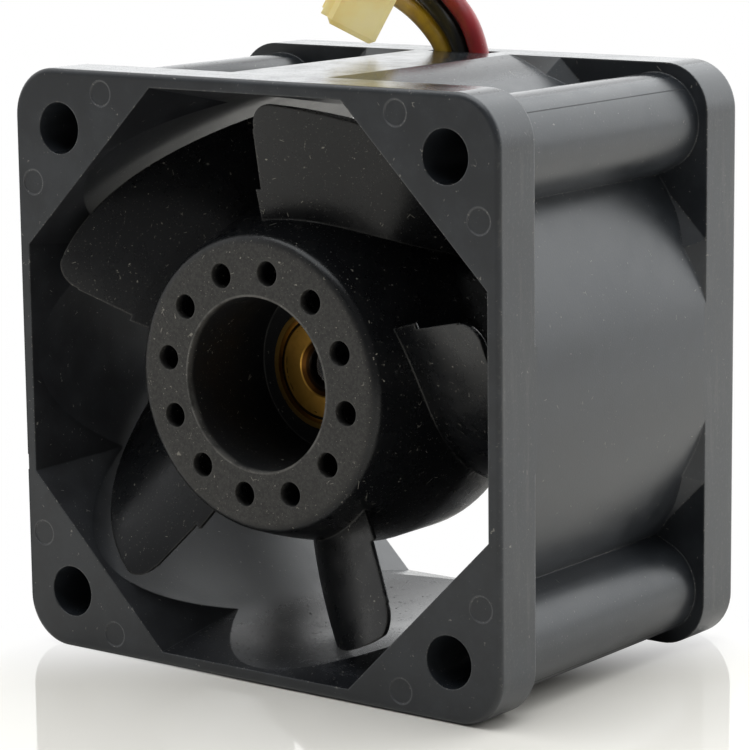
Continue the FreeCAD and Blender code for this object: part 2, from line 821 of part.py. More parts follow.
class Blade:
    """Middle surface and thickness of one blade, between hub and tip."""

    def __init__(self):
        self.root_radius = size("blade_root_radius").value
        self.tip_radius = size("blade_tip_radius").value

    def blend(self, root, tip, radius):
        """Value at a radius, from the values at the hub and at the tip."""
        share = (radius - self.root_radius) / (self.tip_radius - self.root_radius)
        return size(root).value * (1 - share) + size(tip).value * share

    def camber(self, share, radius):
        """Unrolled run and drop of the middle line, and its direction, as a cubic curve."""
        run = radius * math.radians(self.blend("root_wrap", "tip_wrap", radius))
        lead_depth = self.blend("root_lead_depth", "tip_lead_depth", radius)
        drop = size("trail_depth").value - lead_depth
        entry = math.radians(self.blend("root_entry_slope", "tip_entry_slope", radius))
        leave = math.radians(self.blend("root_exit_slope", "tip_exit_slope", radius))
        entry_reach = self.blend("root_entry_reach", "tip_entry_reach", radius)
        exit_reach = self.blend("root_exit_reach", "tip_exit_reach", radius)
        corners = [
            Vector(0, 0, 0),
            Vector(entry_reach * math.cos(entry), entry_reach * math.sin(entry), 0),
            Vector(run - exit_reach * math.cos(leave), drop - exit_reach * math.sin(leave), 0),
            Vector(run, drop, 0),
        ]
        curve = Part.BezierCurve()
        curve.setPoles(corners)
        return curve.value(share), curve.tangent(share)[0], lead_depth

    def point(self, share, radius, side):
        """Point of the pressure (side 1) or suction (side -1) surface."""
        middle, direction, lead_depth = self.camber(share, radius)
        edge = size("blade_edge").value
        bulge = 4 * share * (1 - share)
        thickness = edge + (size("blade_thickness").value - edge) * bulge
        normal = Vector(-direction.y, direction.x, 0)
        spot = middle + normal * (side * thickness / 2)
        lead_angle = self.blend("root_lead_angle", "tip_lead_angle", radius)
        angle = math.radians(lead_angle) - spot.x / radius
        height = front.value - lead_depth - spot.y
        return Vector(radius * math.cos(angle), radius * math.sin(angle), height)

    def surface(self, side):
        stations = [index / 12 for index in range(13)]
        inner = size("core_rear_radius").value - size("root_sink").value
        outer = size("bore_radius").value + size("tip_margin").value
        radii = [inner + (outer - inner) * index / 5 for index in range(6)]
        grid = [[self.point(share, radius, side) for radius in radii] for share in stations]
        sheet_surface = Part.BSplineSurface()
        sheet_surface.interpolate(grid)
        return sheet_surface

    def step_cutter(self):
        """Block that sets the outer part of the leading edge back by a small step."""
        inner = size("step_radius").value
        outer = size("bore_radius").value + size("cut_margin").value
        step = size("step_run").value
        reach = size("step_reach").value
        ends = []
        for radius in (inner, outer):
            angle = math.radians(self.blend("root_lead_angle", "tip_lead_angle", radius)) - step / radius
            ends.append(Vector(radius * math.cos(angle), radius * math.sin(angle), 0))
        along = (ends[1] - ends[0]).normalize()
        across = Vector(-along.y, along.x, 0)
        corners = [ends[0], ends[1], ends[1] + across * reach, ends[0] + across * reach, ends[0]]
        outline = Part.Face(Part.makePolygon(corners))
        outline.translate(Vector(0, 0, front.value - size("hub_cone_depth").value))
        return outline.extrude(Vector(0, 0, size("hub_cone_depth").value))

    def solid(self):
        upper = self.surface(1).toShape()
        lower = self.surface(-1).toShape()
        faces = [upper, lower]
        for top_edge in upper.Edges:
            ends = [vertex.Point for vertex in top_edge.Vertexes]
            partner = min(lower.Edges, key=lambda edge: sum(
                min(point.distanceToPoint(vertex.Point) for point in ends) for vertex in edge.Vertexes))
            faces.append(Part.makeRuledSurface(top_edge, partner))
        skin = Part.Shell(Part.Compound(faces).Faces)
        skin.sewShape()
        blade = Part.Solid(skin)
        if blade.Volume < 0:
            blade.reverse()
        envelope = Part.makeCylinder(self.tip_radius, size("frame_depth").value,
                                     Vector(0, 0, rear.value))
        return blade.common(envelope).cut(self.step_cutter())


def make_impeller():
    hub = turned("hub_blank", [
        (0, skirt_rear),
        (skirt_radius, skirt_rear),
        (skirt_radius, at_depth("hub_rim_depth")),
        (size("hub_radius"), at_depth("hub_rim_depth")),
        (size("hub_radius"), at_depth("hub_cone_depth")),
        (size("hub_face_radius"), at_depth("hub_face_depth")),
        (0, at_depth("hub_face_depth")),
    ], {4: size("hub_crown")})
    doc.recompute()
    rim = circle_edges(hub.Tip, size("hub_face_radius"), at_depth("hub_face_depth"))
    round_edges(hub, hub.Tip, "hub_front_round", rim, size("hub_round"))
    blade_shape = Blade().solid()
    blades = []
    blade_count = int(size("blade_count").value)
    for index in range(blade_count):
        blade = doc.addObject("Part::Feature", "blade_%d" % (index + 1))
        blade.Shape = blade_shape
        blade.Placement = Placement(Vector(0, 0, 0), Rotation(Vector(0, 0, 1), 360.0 * index / blade_count))
        blades.append(blade)
    bladed = doc.addObject("Part::MultiFuse", "bladed_hub")
    bladed.Shapes = [hub] + blades
    margin = size("cut_margin")
    cavity = turned("hub_cavity", [
        (0, skirt_rear - margin),
        (yoke_radius, skirt_rear - margin),
        (yoke_radius, yoke_front),
        (size("core_rear_radius"), yoke_front),
        (size("core_front_radius"), at_depth("core_front_depth")),
        (size("core_inner_radius"), at_depth("core_front_depth")),
        (size("core_inner_radius"), yoke_front),
        (size("bush_body_radius"), yoke_front),
        (size("bush_body_radius"), well_floor),
        (size("well_radius"), well_floor),
        (size("well_radius"), front + margin),
        (0, front + margin),
    ])
    voids = [cavity]
    hole_run = size("balance_hole_run")
    hole_count = int(size("balance_count").value)
    for index in range(hole_count):
        x, y = polar(size("balance_pitch_radius"), size("balance_first_angle"), 360.0 * index / hole_count)
        voids.append(axis_cylinder("balance_hole_%d" % (index + 1), size("balance_hole_radius"), x, y,
                                   at_depth("hub_face_depth") - hole_run, hole_run + margin))
    all_voids = doc.addObject("Part::MultiFuse", "hub_voids")
    all_voids.Shapes = voids
    impeller = doc.addObject("Part::Cut", "impeller")
    impeller.Base = bladed
    impeller.Tool = all_voids
    finish(impeller, "impeller")


# Rotor inside the hub

def make_rotor_yoke():
    body = turned("rotor_yoke", [
        (size("bush_body_radius"), yoke_front - size("yoke_wall")),
        (yoke_bore, yoke_front - size("yoke_wall")),
        (yoke_bore, yoke_rear),
        (yoke_radius, yoke_rear),
        (yoke_radius, yoke_front),
        (size("bush_body_radius"), yoke_front),
    ])
    doc.recompute()
    rim = circle_edges(body.Tip, yoke_radius, yoke_front)
    round_edges(body, body.Tip, "yoke_bend", rim, size("yoke_round"))
    finish(body, "rotor_yoke")


def make_ring_magnet():
    finish(turned_ring("ring_magnet", magnet_bore, magnet_radius, magnet_rear, magnet_front),
           "ring_magnet")


def make_hub_bush():
    """Brass bush with a grooved flange in the bottom of the well."""
    flange_front = well_floor + size("bush_flange_run")
    groove_outer = size("bush_groove_radius") + size("bush_groove_width")
    finish(turned("hub_bush", [
        (size("shaft_radius"), bush_rear),
        (size("bush_body_radius"), bush_rear),
        (size("bush_body_radius"), well_floor),
        (size("bush_flange_radius"), well_floor),
        (size("bush_flange_radius"), flange_front),
        (groove_outer, flange_front),
        (groove_outer, flange_front - size("bush_groove_run")),
        (size("bush_groove_radius"), flange_front - size("bush_groove_run")),
        (size("bush_groove_radius"), flange_front),
        (size("bush_mouth_radius"), flange_front),
        (size("shaft_radius"), flange_front - size("bush_mouth_run")),
    ]), "hub_bush")


def make_shaft():
    """Shaft with chamfered ends and the groove for the retaining clip."""
    chamfer = size("shaft_chamfer")
    radius = size("shaft_radius")
    groove_front = rear_bearing_low - size("washer_thickness")
    groove_rear = groove_front - size("clip_thickness")
    groove_radius = radius - size("clip_groove")
    finish(turned("shaft", [
        (0, shaft_rear), (radius - chamfer, shaft_rear), (radius, shaft_rear + chamfer),
        (radius, groove_rear), (groove_radius, groove_rear), (groove_radius, groove_front),
        (radius, groove_front), (radius, shaft_front - chamfer), (radius - chamfer, shaft_front),
        (0, shaft_front),
    ]), "shaft")


def make_retaining_clip():
    """Open ring that snaps into the shaft's groove behind the rear bearing."""
    top = rear_bearing_low - size("washer_thickness")
    low = top - size("clip_thickness")
    body = turned_ring("retaining_clip", size("shaft_radius") - size("clip_groove"),
                       size("clip_radius"), low, top)
    mouth = new_sketch(body, "clip_mouth_outline", offset=top)
    half = (size("shaft_radius") - size("clip_groove")) * 0.8
    draw_rectangle(mouth, -half, half, -size("clip_radius") * 1.5, 0)
    body.Tip = pocket(body, mouth, "clip_mouth", size("clip_thickness"))
    finish(body, "retaining_clip")
    washer = turned_ring("shaft_washer", size("shaft_radius") + size("fit_clearance"),
                         size("washer_radius"), top, top + size("washer_thickness"))
    finish(washer, "shaft_washer")


def make_preload_spring():
    """Coil spring between the bush and the inner race of the front bearing."""
    wire = size("spring_wire") / 2
    top = bush_rear - wire
    bottom = front_bearing_top + wire
    spine = doc.addObject("Part::Helix", "spring_spine")
    bind(spine, "Radius", size("spring_radius"))
    bind(spine, "Height", top - bottom)
    bind(spine, "Pitch", (top - bottom) / size("spring_turns"))
    spine.setExpression("Placement.Base.z", bottom.text)
    section = doc.addObject("Part::Circle", "spring_section")
    bind(section, "Radius", wire)
    section.Placement = Placement(Vector(0, 0, 0), Rotation(Vector(1, 0, 0), 90))
    section.setExpression("Placement.Base.x", size("spring_radius").text)
    section.setExpression("Placement.Base.z", bottom.text)
    coil = doc.addObject("Part::Sweep", "preload_spring")
    coil.Sections = [section]
    coil.Spine = (spine, [])
    coil.Solid = True
    coil.Frenet = True
    finish(coil, "preload_spring")


# Ball bearings

def make_bearing(end, low):
    """Outer race, inner race, balls and shields of the bearing at one end."""
    top = low + size("bearing_width")
    middle = low + size("bearing_width") / 2
    outer_inner = size("bearing_radius") - size("race_wall")
    inner_outer = size("shaft_radius") + size("race_wall")
    track = size("ball_radius") + size("ball_clearance")
    reach = value_of(track)
    for name, shoulder, low_radius, high_radius in (
        ("_bearing_outer_race", outer_inner, outer_inner, size("bearing_radius")),
        ("_bearing_inner_race", inner_outer, size("shaft_radius") + size("fit_clearance"), inner_outer),
    ):
        rise = math.sqrt(reach ** 2 - (value_of(shoulder) - value_of(ball_pitch)) ** 2)
        half = Dim(rise, "sqrt(%s * %s - (%s - %s) * (%s - %s))" % (
            track.text, track.text, shoulder.text, ball_pitch.text, shoulder.text, ball_pitch.text))
        if shoulder is outer_inner:
            points = [(high_radius, top), (high_radius, low), (low_radius, low),
                      (low_radius, middle - half), (low_radius, middle + half), (low_radius, top)]
        else:
            points = [(low_radius, low), (low_radius, top), (high_radius, top),
                      (high_radius, middle + half), (high_radius, middle - half), (high_radius, low)]
        finish(turned(end + name, points, {3: track}), end + name)
    balls = []
    ball_count = int(size("ball_count").value)
    for index in range(ball_count):
        ball = doc.addObject("Part::Sphere", "%s_ball_%d" % (end, index + 1))
        bind(ball, "Radius", size("ball_radius"))
        x, y = polar(ball_pitch, 360.0 * index / ball_count)
        ball.setExpression("Placement.Base.x", x.text)
        ball.setExpression("Placement.Base.y", y.text)
        ball.setExpression("Placement.Base.z", middle.text)
        balls.append(ball)
    finish(group_of(end + "_bearing_balls", balls), end + "_bearing_balls")
    shields = []
    for side, height in (("front", top - size("shield_inset") - size("shield_thickness")),
                         ("rear", low + size("shield_inset"))):
        shield = doc.addObject("Part::Feature", "%s_%s_shield" % (end, side))
        disc = Part.makeCylinder(outer_inner.value, size("shield_thickness").value,
                                 Vector(0, 0, height.value))
        shield.Shape = disc.cut(Part.makeCylinder(size("shield_radius").value, 1.0,
                                                  Vector(0, 0, height.value - 0.5)))
        shields.append(shield)
    finish(group_of(end + "_bearing_shields", shields), end + "_bearing_shields")


def make_bearing_tube():
    """Brass tube that seats both bearings against an inner shoulder."""
    shoulder = tube_inner - size("tube_shoulder")
    finish(turned("bearing_tube", [
        (size("bearing_tube_radius"), base_floor),
        (size("bearing_tube_radius"), bearing_tube_front),
        (tube_inner, bearing_tube_front),
        (tube_inner, front_bearing_low),
        (shoulder, front_bearing_low),
        (shoulder, rear_bearing_top),
        (tube_inner, rear_bearing_top),
        (tube_inner, base_floor),
    ]), "bearing_tube")


# Stator

def cut_pole_slots(body, name, offset, length):
    """Open the outer ring between the poles."""
    slot = new_sketch(body, name + "_outline", offset=offset)
    half = size("slot_width") / 2
    diagonal = math.sqrt(0.5)
    near = core_radius - size("shoe_wall") - size("shoe_wall") / 2
    far = core_radius + size("shoe_wall")
    draw_outline(slot, [
        ((near + half) * diagonal, (near - half) * diagonal),
        ((far + half) * diagonal, (far - half) * diagonal),
        ((far - half) * diagonal, (far + half) * diagonal),
        ((near - half) * diagonal, (near + half) * diagonal),
    ])
    cut = pocket(body, slot, name, length)
    return ring_of(body, name + "s", [cut], size("pole_count"))


def make_stator_core():
    body = new_body("stator_core")
    rings = new_sketch(body, "core_rings_outline", offset=core_rear)
    ring_outer = size("bearing_tube_radius") + size("core_ring_wall")
    draw_circle(rings, 0, 0, core_radius)
    disc = pad(body, rings, "core_disc", size("core_run"))
    window = new_sketch(body, "core_window_outline", offset=core_front)
    shoe_inner = core_radius - size("shoe_wall")
    draw_window(window, ring_outer, shoe_inner, pole_half_width)
    opening = pocket(body, window, "core_window", size("core_run"))
    ring_of(body, "core_windows", [opening], size("pole_count"))
    cut_pole_slots(body, "core_slot", core_front, size("core_run"))
    bore = new_sketch(body, "core_bore_outline", offset=core_front)
    draw_circle(bore, 0, 0, size("bearing_tube_radius"))
    body.Tip = pocket(body, bore, "core_bore", size("core_run"))
    finish(body, "stator_core")


def draw_window(sketch, inner, outer, half):
    """Winding window between two poles: two arcs joined by the sides of the poles."""
    inner_along = Dim(math.sqrt(inner.value ** 2 - half.value ** 2),
                      "sqrt(%s * %s - %s * %s)" % (inner.text, inner.text, half.text, half.text))
    outer_along = Dim(math.sqrt(outer.value ** 2 - half.value ** 2),
                      "sqrt(%s * %s - %s * %s)" % (outer.text, outer.text, half.text, half.text))
    points = [(inner_along, half), (outer_along, half), (half, outer_along), (half, inner_along)]
    start = flat_point(*points[0])
    sides = [
        sketch.addGeometry(Part.LineSegment(start, flat_point(*points[1])), False),
        sketch.addGeometry(Part.Arc(flat_point(*points[1]), Vector(outer.value, outer.value, 0)
                                    * math.sqrt(0.5), flat_point(*points[2])), False),
        sketch.addGeometry(Part.LineSegment(flat_point(*points[2]), flat_point(*points[3])), False),
        sketch.addGeometry(Part.Arc(start, Vector(inner.value, inner.value, 0) * math.sqrt(0.5),
                                    flat_point(*points[3])), False),
    ]
    sketch.addConstraint(Sketcher.Constraint("Coincident", sides[0], 2, sides[1], 1))
    sketch.addConstraint(Sketcher.Constraint("Coincident", sides[1], 2, sides[2], 1))
    sketch.addConstraint(Sketcher.Constraint("Coincident", sides[2], 2, sides[3], 2))
    sketch.addConstraint(Sketcher.Constraint("Coincident", sides[3], 1, sides[0], 1))
    pin(sketch, sides[0], 1, *points[0])
    pin(sketch, sides[0], 2, *points[1])
    pin(sketch, sides[2], 1, *points[2])
    pin(sketch, sides[2], 2, *points[3])
    for side, radius in ((sides[1], outer), (sides[3], inner)):
        held = sketch.addConstraint(Sketcher.Constraint("Radius", side, radius.value))
        sketch.setExpression("Constraints[%d]" % held, radius.text)


def make_insulator(end):
    """Plate on one end of the core, with a low wall that keeps the coils off the pole shoes."""
    is_front = end == "front"
    body = new_body(end + "_insulator")
    low = core_front if is_front else core_rear - size("insulator_plate")
    high = low + size("insulator_plate")
    plate = new_sketch(body, end + "_plate_outline", offset=low)
    draw_circle(plate, 0, 0, insulator_wall)
    pad(body, plate, end + "_plate", size("insulator_plate"))
    window = new_sketch(body, end + "_window_outline", offset=high)
    draw_window(window, insulator_ring, coil_room, pole_half_width + size("insulator_overlap") / 2)
    opening = pocket(body, window, end + "_window", size("insulator_plate"))
    ring_of(body, end + "_windows", [opening], size("pole_count"))
    wall_base = high if is_front else low
    wall = new_sketch(body, end + "_wall_outline", offset=wall_base)
    draw_circle(wall, 0, 0, insulator_wall)
    draw_circle(wall, 0, 0, coil_room)
    pad(body, wall, end + "_wall", size("insulator_rim"), reverse=not is_front)
    if not is_front:
        posts = new_sketch(body, "pin_posts_outline", offset=low)
        x, y = polar(size("pin_pitch_radius"), 45.0)
        draw_circle(posts, x, y, size("pin_boss_radius"))
        post = pad(body, posts, "pin_post", size("insulator_plate"))
        ring_of(body, "pin_posts", [post], size("pole_count"))
        pin_seats = new_sketch(body, "pin_seats_outline", offset=high)
        draw_circle(pin_seats, x, y, size("pin_radius") + size("fit_clearance"))
        seat = pocket(body, pin_seats, "pin_seat", size("insulator_plate"))
        ring_of(body, "pin_seats", [seat], size("pole_count"))
    cut_top = high + size("insulator_rim") if is_front else high
    cut_pole_slots(body, end + "_slot", cut_top, size("insulator_plate") + size("insulator_rim"))
    bore = new_sketch(body, end + "_insulator_bore_outline", offset=high)
    draw_circle(bore, 0, 0, size("bearing_tube_radius"))
    body.Tip = pocket(body, bore, end + "_insulator_bore", size("insulator_plate"))
    finish(body, end + "_insulator")


def make_windings():
    """One coil round each pole, as a rounded rectangular ring."""
    body = new_body("windings")
    gap = size("coil_gap")
    start = insulator_ring + gap
    middle = (core_front + core_rear) / 2
    inner_width = pole_half_width + size("insulator_overlap") / 2 + gap
    inner_height = size("core_run") / 2 + size("insulator_plate") + gap
    outer_width = inner_width + size("coil_build")
    reach = coil_room - gap
    end = Dim(math.sqrt(reach.value ** 2 - outer_width.value ** 2), "sqrt(%s * %s - %s * %s)" % (
        reach.text, reach.text, outer_width.text, outer_width.text))
    section = new_sketch(body, "coil_outline", "YZ_Plane", offset=start)
    radius = size("coil_round")
    for width, height, corner in (
        (outer_width, inner_height + size("coil_build"), radius),
        (inner_width, inner_height, radius / 3),
    ):
        points = []
        for x_side, y_side, first in ((1, 1, True), (-1, 1, False), (-1, -1, True), (1, -1, False)):
            side_point = (width * x_side, middle + (height - corner) * y_side)
            top_point = ((width - corner) * x_side, middle + height * y_side)
            points += [side_point, top_point] if first else [top_point, side_point]
        draw_outline(section, points, {0: corner, 2: corner, 4: corner, 6: corner})
    coil = pad(body, section, "coil", end - start)
    ring = body.newObject("PartDesign::PolarPattern", "coils")
    ring.Originals = [coil]
    ring.Axis = ([item for item in body.Origin.OriginFeatures if item.Role == "Z_Axis"][0], [""])
    ring.Angle = 360
    bind(ring, "Occurrences", size("pole_count"))
    body.Tip = ring
    finish(body, "stator_windings")


def make_winding_pins():
    """Pins that carry the coil ends from the rear insulator through the circuit board."""
    low = board_rear - size("pin_stand")
    high = core_rear
    bars = []
    pin_count = int(size("pole_count").value)
    for index in range(pin_count):
        x, y = polar(size("pin_pitch_radius"), 45.0, 360.0 * index / pin_count)
        bars.append(axis_cylinder("winding_pin_%d" % (index + 1), size("pin_radius"), x, y,
                                  low, high - low))
    finish(group_of("winding_pins", bars), "winding_pins")


# Circuit board and the parts on it

def make_circuit_board():
    body = new_body("circuit_board")
    outline = new_sketch(body, "board_outline", offset=board_rear)
    draw_circle(outline, 0, 0, base_inner - size("board_clearance"))
    draw_circle(outline, 0, 0, size("boss_radius") + size("board_clearance"))
    pad(body, outline, "board", size("board_thickness"))
    holes = new_sketch(body, "pin_holes_outline", offset=board_front)
    for index in range(4):
        x, y = polar(size("pin_pitch_radius"), 45.0, 90.0 * index)
        draw_circle(holes, x, y, size("pin_radius") + size("fit_clearance"))
    body.Tip = pocket(body, holes, "pin_holes", size("board_thickness"))
    finish(body, "circuit_board")


def board_block(name, length, width, height, radius, angle, on_front):
    """Small block that lies flat on one side of the board, its length along the rim."""
    block = doc.addObject("Part::Box", name)
    bind(block, "Length", length)
    bind(block, "Width", width)
    bind(block, "Height", height)
    near_x, near_y = polar(radius - width / 2, angle)
    back_x, back_y = polar(length / 2, angle, 90.0)
    low = board_front if on_front else board_rear - height
    block.Placement = Placement(Vector(0, 0, 0), Rotation(Vector(0, 0, 1), value_of(angle) - 90))
    block.setExpression("Placement.Rotation.Angle", "%s - 90" % text_of(angle))
    block.setExpression("Placement.Base.x", (near_x + back_x).text)
    block.setExpression("Placement.Base.y", (near_y + back_y).text)
    block.setExpression("Placement.Base.z", low.text)
    return block


def make_board_parts():
    chip = board_block("chip_block", size("chip_side"), size("chip_side"), size("chip_height"),
                       size("chip_radius") - size("board_clearance") * 3, size("chip_angle"), False)
    finish(group_of("driver_chip", [chip]), "driver_chip")
    sensor = board_block("sensor_block", size("sensor_length"), size("sensor_width"),
                         size("sensor_height"), size("sensor_radius"), size("sensor_angle"), True)
    finish(group_of("hall_sensor", [sensor]), "hall_sensor")
    parts = []
    for index in range(int(size("capacitor_count").value)):
        angle = size("capacitor_first_angle") + size("capacitor_step") * index
        parts.append(board_block("chip_capacitor_%d" % (index + 1), size("capacitor_length"),
                                 size("capacitor_width"), size("capacitor_height"),
                                 size("capacitor_radius"), angle, False))
    finish(group_of("chip_capacitors", parts), "chip_capacitors")


def make_bearing_cap():
    """Plain plug that closes the hole behind the rear bearing."""
    flange_top = base_rear + size("cap_thickness")
    top = flange_top + size("cap_spigot")
    spigot = size("floor_hole_radius") - size("fit_clearance")
    finish(turned("bearing_cap", [
        (0, base_rear), (size("cap_radius"), base_rear), (size("cap_radius"), flange_top),
        (spigot, flange_top), (spigot, top), (spigot - size("base_wall"), top),
        (spigot - size("base_wall"), flange_top), (0, flange_top),
    ]), "bearing_cap")


# Lead runs held in the upper spoke

def lead_x(index):
    return size("lead_middle") + size("lead_pitch") * (index - 1)


def make_held_leads():
    solder = []
    for index, colour in enumerate(LEAD_NAMES):
        body = new_body(colour + "_lead_inner")
        section = new_sketch(body, colour + "_lead_section", "XZ_Plane", offset=-size("lead_start"))
        draw_circle(section, lead_x(index), lead_place, size("lead_radius"))
        body.Tip = pad(body, section, colour + "_lead_run", size("lead_exit") - size("lead_start"),
                       reverse=True)
        finish(body, colour + "_lead_inner")
        joint = doc.addObject("Part::Box", colour + "_solder_joint")
        bind(joint, "Length", size("solder_width"))
        bind(joint, "Width", size("solder_run"))
        bind(joint, "Height", size("solder_height"))
        joint.setExpression("Placement.Base.x", (lead_x(index) - size("solder_width") / 2).text)
        joint.setExpression("Placement.Base.y", (size("lead_start") - size("solder_run")).text)
        joint.setExpression("Placement.Base.z", (board_rear - size("solder_height")).text)
        solder.append(joint)
    finish(group_of("solder_joints", solder), "solder_joints")


# Connector and the free part of the leads

def plug_axes():
    """Directions of the plug's row, its thickness and its height."""
    turn = math.radians(size("plug_turn").value)
    lean = math.radians(size("plug_lean").value)
    row = Vector(-math.sin(turn), math.cos(turn), 0)
    sideways = Vector(math.cos(turn), math.sin(turn), 0)
    across = sideways * math.cos(lean) - Vector(0, 0, 1) * math.sin(lean)
    upward = sideways * math.sin(lean) + Vector(0, 0, 1) * math.cos(lean)
    return row, across, upward


def plug_placement():
    """Place of the plug's own frame: x along the row, y across, z up from the mating face."""
    row, across, upward = plug_axes()
    half = size("plug_thickness").value / 2
    lowest = Vector(size("plug_side_place").value, -rear.value - size("plug_rear_place").value,
                    2 * half_side.value + size("plug_rest").value)
    return Placement(lowest - across * half, Rotation(-row, across, upward, "ZXY"))


def plug_cell_x(index):
    return size("plug_pitch") * (1 - index)


def make_plug():
    """Three-way housing with a wire hole, a terminal cavity and a lock window for each lead."""
    body = new_body("connector_housing")
    outline = new_sketch(body, "plug_outline")
    half_width = size("plug_width") / 2
    half_thickness = size("plug_thickness") / 2
    draw_rectangle(outline, -half_width, half_width, -half_thickness, half_thickness)
    block = pad(body, outline, "plug_block", size("plug_height"))
    doc.recompute()
    edges = ["Edge%d" % index for index in range(1, len(block.Shape.Edges) + 1)]
    chamfer = body.newObject("PartDesign::Chamfer", "plug_edges")
    chamfer.Base = (block, edges)
    bind(chamfer, "Size", size("plug_chamfer"))
    keys = new_sketch(body, "plug_keys_outline", offset=size("plug_chamfer"))
    for side in (-1, 1):
        middle = (half_width - size("plug_key_width")) * side
        draw_rectangle(keys, middle - size("plug_key_width") / 2, middle + size("plug_key_width") / 2,
                       -half_thickness - size("plug_key_height"), -half_thickness + size("plug_chamfer"))
    pad(body, keys, "plug_keys", size("plug_height") / 2)
    cavities = new_sketch(body, "cavities_outline")
    entries = new_sketch(body, "entries_outline", offset=size("plug_height"))
    windows = new_sketch(body, "windows_outline", "XZ_Plane", offset=half_thickness)
    window_low = size("plug_height") - size("plug_window_drop") - size("plug_window_height")
    for index in range(3):
        x = plug_cell_x(index)
        half_cavity = size("plug_cavity_width") / 2
        draw_rectangle(cavities, x - half_cavity, x + half_cavity,
                       -size("plug_cavity_depth") / 2, size("plug_cavity_depth") / 2)
        draw_circle(entries, x, 0, size("plug_entry_radius"))
        draw_rectangle(windows, x - half_cavity / 2, x + half_cavity / 2,
                       window_low, window_low + size("plug_window_height"))
    pocket(body, cavities, "cavities", size("plug_height") - size("plug_entry_run"), reverse=True)
    pocket(body, entries, "entries", size("plug_entry_run") * 1.5)
    body.Tip = pocket(body, windows, "windows", half_thickness)
    finish_in_place(body, "connector_housing", plug_placement())


def make_terminals():
    """Crimped socket terminals, open at the mating face."""
    body = new_body("connector_terminals")
    top = size("plug_height") - size("plug_entry_run")
    outline = new_sketch(body, "terminals_outline", offset=top)
    sockets = new_sketch(body, "sockets_outline", offset=top - size("terminal_run"))
    half = size("terminal_side") / 2
    inner = half - size("terminal_wall")
    for index in range(3):
        x = plug_cell_x(index)
        draw_rectangle(outline, x - half, x + half, -half, half)
        draw_rectangle(sockets, x - inner, x + inner, -inner, inner)
    pad(body, outline, "terminals", size("terminal_run"), reverse=True)
    body.Tip = pocket(body, sockets, "sockets", size("terminal_run") / 2, reverse=True)
    finish_in_place(body, "connector_terminals", plug_placement())


def middle_route():
    """Corner points of the middle lead, from the channel's mouth into the plug."""
    start_y = -lead_place.value
    exit_z = half_side.value + size("lead_exit").value
    start = Vector(size("lead_middle").value, start_y, exit_z)
    above = Vector(start.x, start.y, 2 * half_side.value)
    upward = plug_axes()[2]
    top = plug_placement().Base + upward * size("plug_height").value
    entry = size("plug_entry_run").value
    corners = [start, above] + [above + Vector(*point) for point in LEAD_ROUTE]
    return corners + [top + upward * 3 * entry, top - upward * entry]


def lead_route(index):
    """Corner points of one lead beside the middle one, the row turning on the way."""
    middle = middle_route()
    place = index - 1
    corners = []
    last = len(middle) - 1
    for step, corner in enumerate(middle):
        before = (corner - middle[max(step - 1, 0)]) if step else (middle[1] - corner)
        after = (middle[step + 1] - corner) if step < last else before
        before = before.normalize()
        after = after.normalize()
        along = (before + after).normalize()
        sideways = Vector(along.z, 0, -along.x).normalize()
        depthways = along.cross(sideways)
        twist = math.radians(ROW_TWIST[step])
        row = sideways * math.cos(twist) + depthways * math.sin(twist)
        if step >= last - 1:
            row = plug_axes()[0]
            pitch = size("plug_pitch").value
        else:
            pitch = size("lead_pitch").value / along.dot(after)
        corners.append(corner + row * (pitch * place))
    return corners


def tube_spine(corners):
    """Straight runs joined by tangent arcs, and the radii of the arcs."""
    edges = []
    radii = []
    start = corners[0]
    for before, corner, after in zip(corners, corners[1:], corners[2:]):
        backward = (before - corner).normalize()
        forward = (after - corner).normalize()
        half_turn = (math.pi - backward.getAngle(forward)) / 2
        setback = 0.45 * min(before.distanceToPoint(corner), after.distanceToPoint(corner))
        radius = setback / math.tan(half_turn)
        first = corner + backward * setback
        second = corner + forward * setback
        inward = (backward + forward).normalize()
        crest = corner + inward * (radius / math.cos(half_turn) - radius)
        edges.append(Part.LineSegment(start, first).toShape())
        edges.append(Part.Arc(first, crest, second).toShape())
        radii.append(radius)
        start = second
    edges.append(Part.LineSegment(start, corners[-1]).toShape())
    return Part.Wire(edges), radii


def make_free_leads():
    for index, colour in enumerate(LEAD_NAMES):
        spine, radii = tube_spine(lead_route(index))
        start = spine.Edges[0].firstVertex().Point
        heading = spine.Edges[0].tangentAt(spine.Edges[0].FirstParameter)
        section = Part.Wire(Part.makeCircle(size("lead_radius").value, start, heading))
        tube = doc.addObject("Part::Feature", colour + "_lead_tube")
        tube.Shape = spine.makePipeShell([section], True, True)
        finish_in_place(tube, colour + "_lead", Placement())
        area = math.pi * size("lead_radius").value ** 2
        print("%s lead: length %.1f, smallest bend %.2f, volume ratio %.4f" % (
            colour, spine.Length, min(radii), tube.Shape.Volume / (area * spine.Length)))


make_fan_frame()
make_impeller()
make_rotor_yoke()
make_ring_magnet()
make_hub_bush()
make_shaft()
make_retaining_clip()
make_preload_spring()
make_bearing("front", front_bearing_low)
make_bearing("rear", rear_bearing_low)
make_bearing_tube()
make_stator_core()
make_insulator("front")
make_insulator("rear")
make_windings()
make_winding_pins()
make_circuit_board()
make_board_parts()
make_bearing_cap()
make_held_leads()
make_plug()
make_terminals()
make_free_leads()
doc.recompute()


# Check every object, then write each piece to its own file

for item in doc.Objects:
    if "Invalid" in item.State or "Error" in item.State:
        raise RuntimeError("%s did not compute: %s" % (item.Label, item.State))

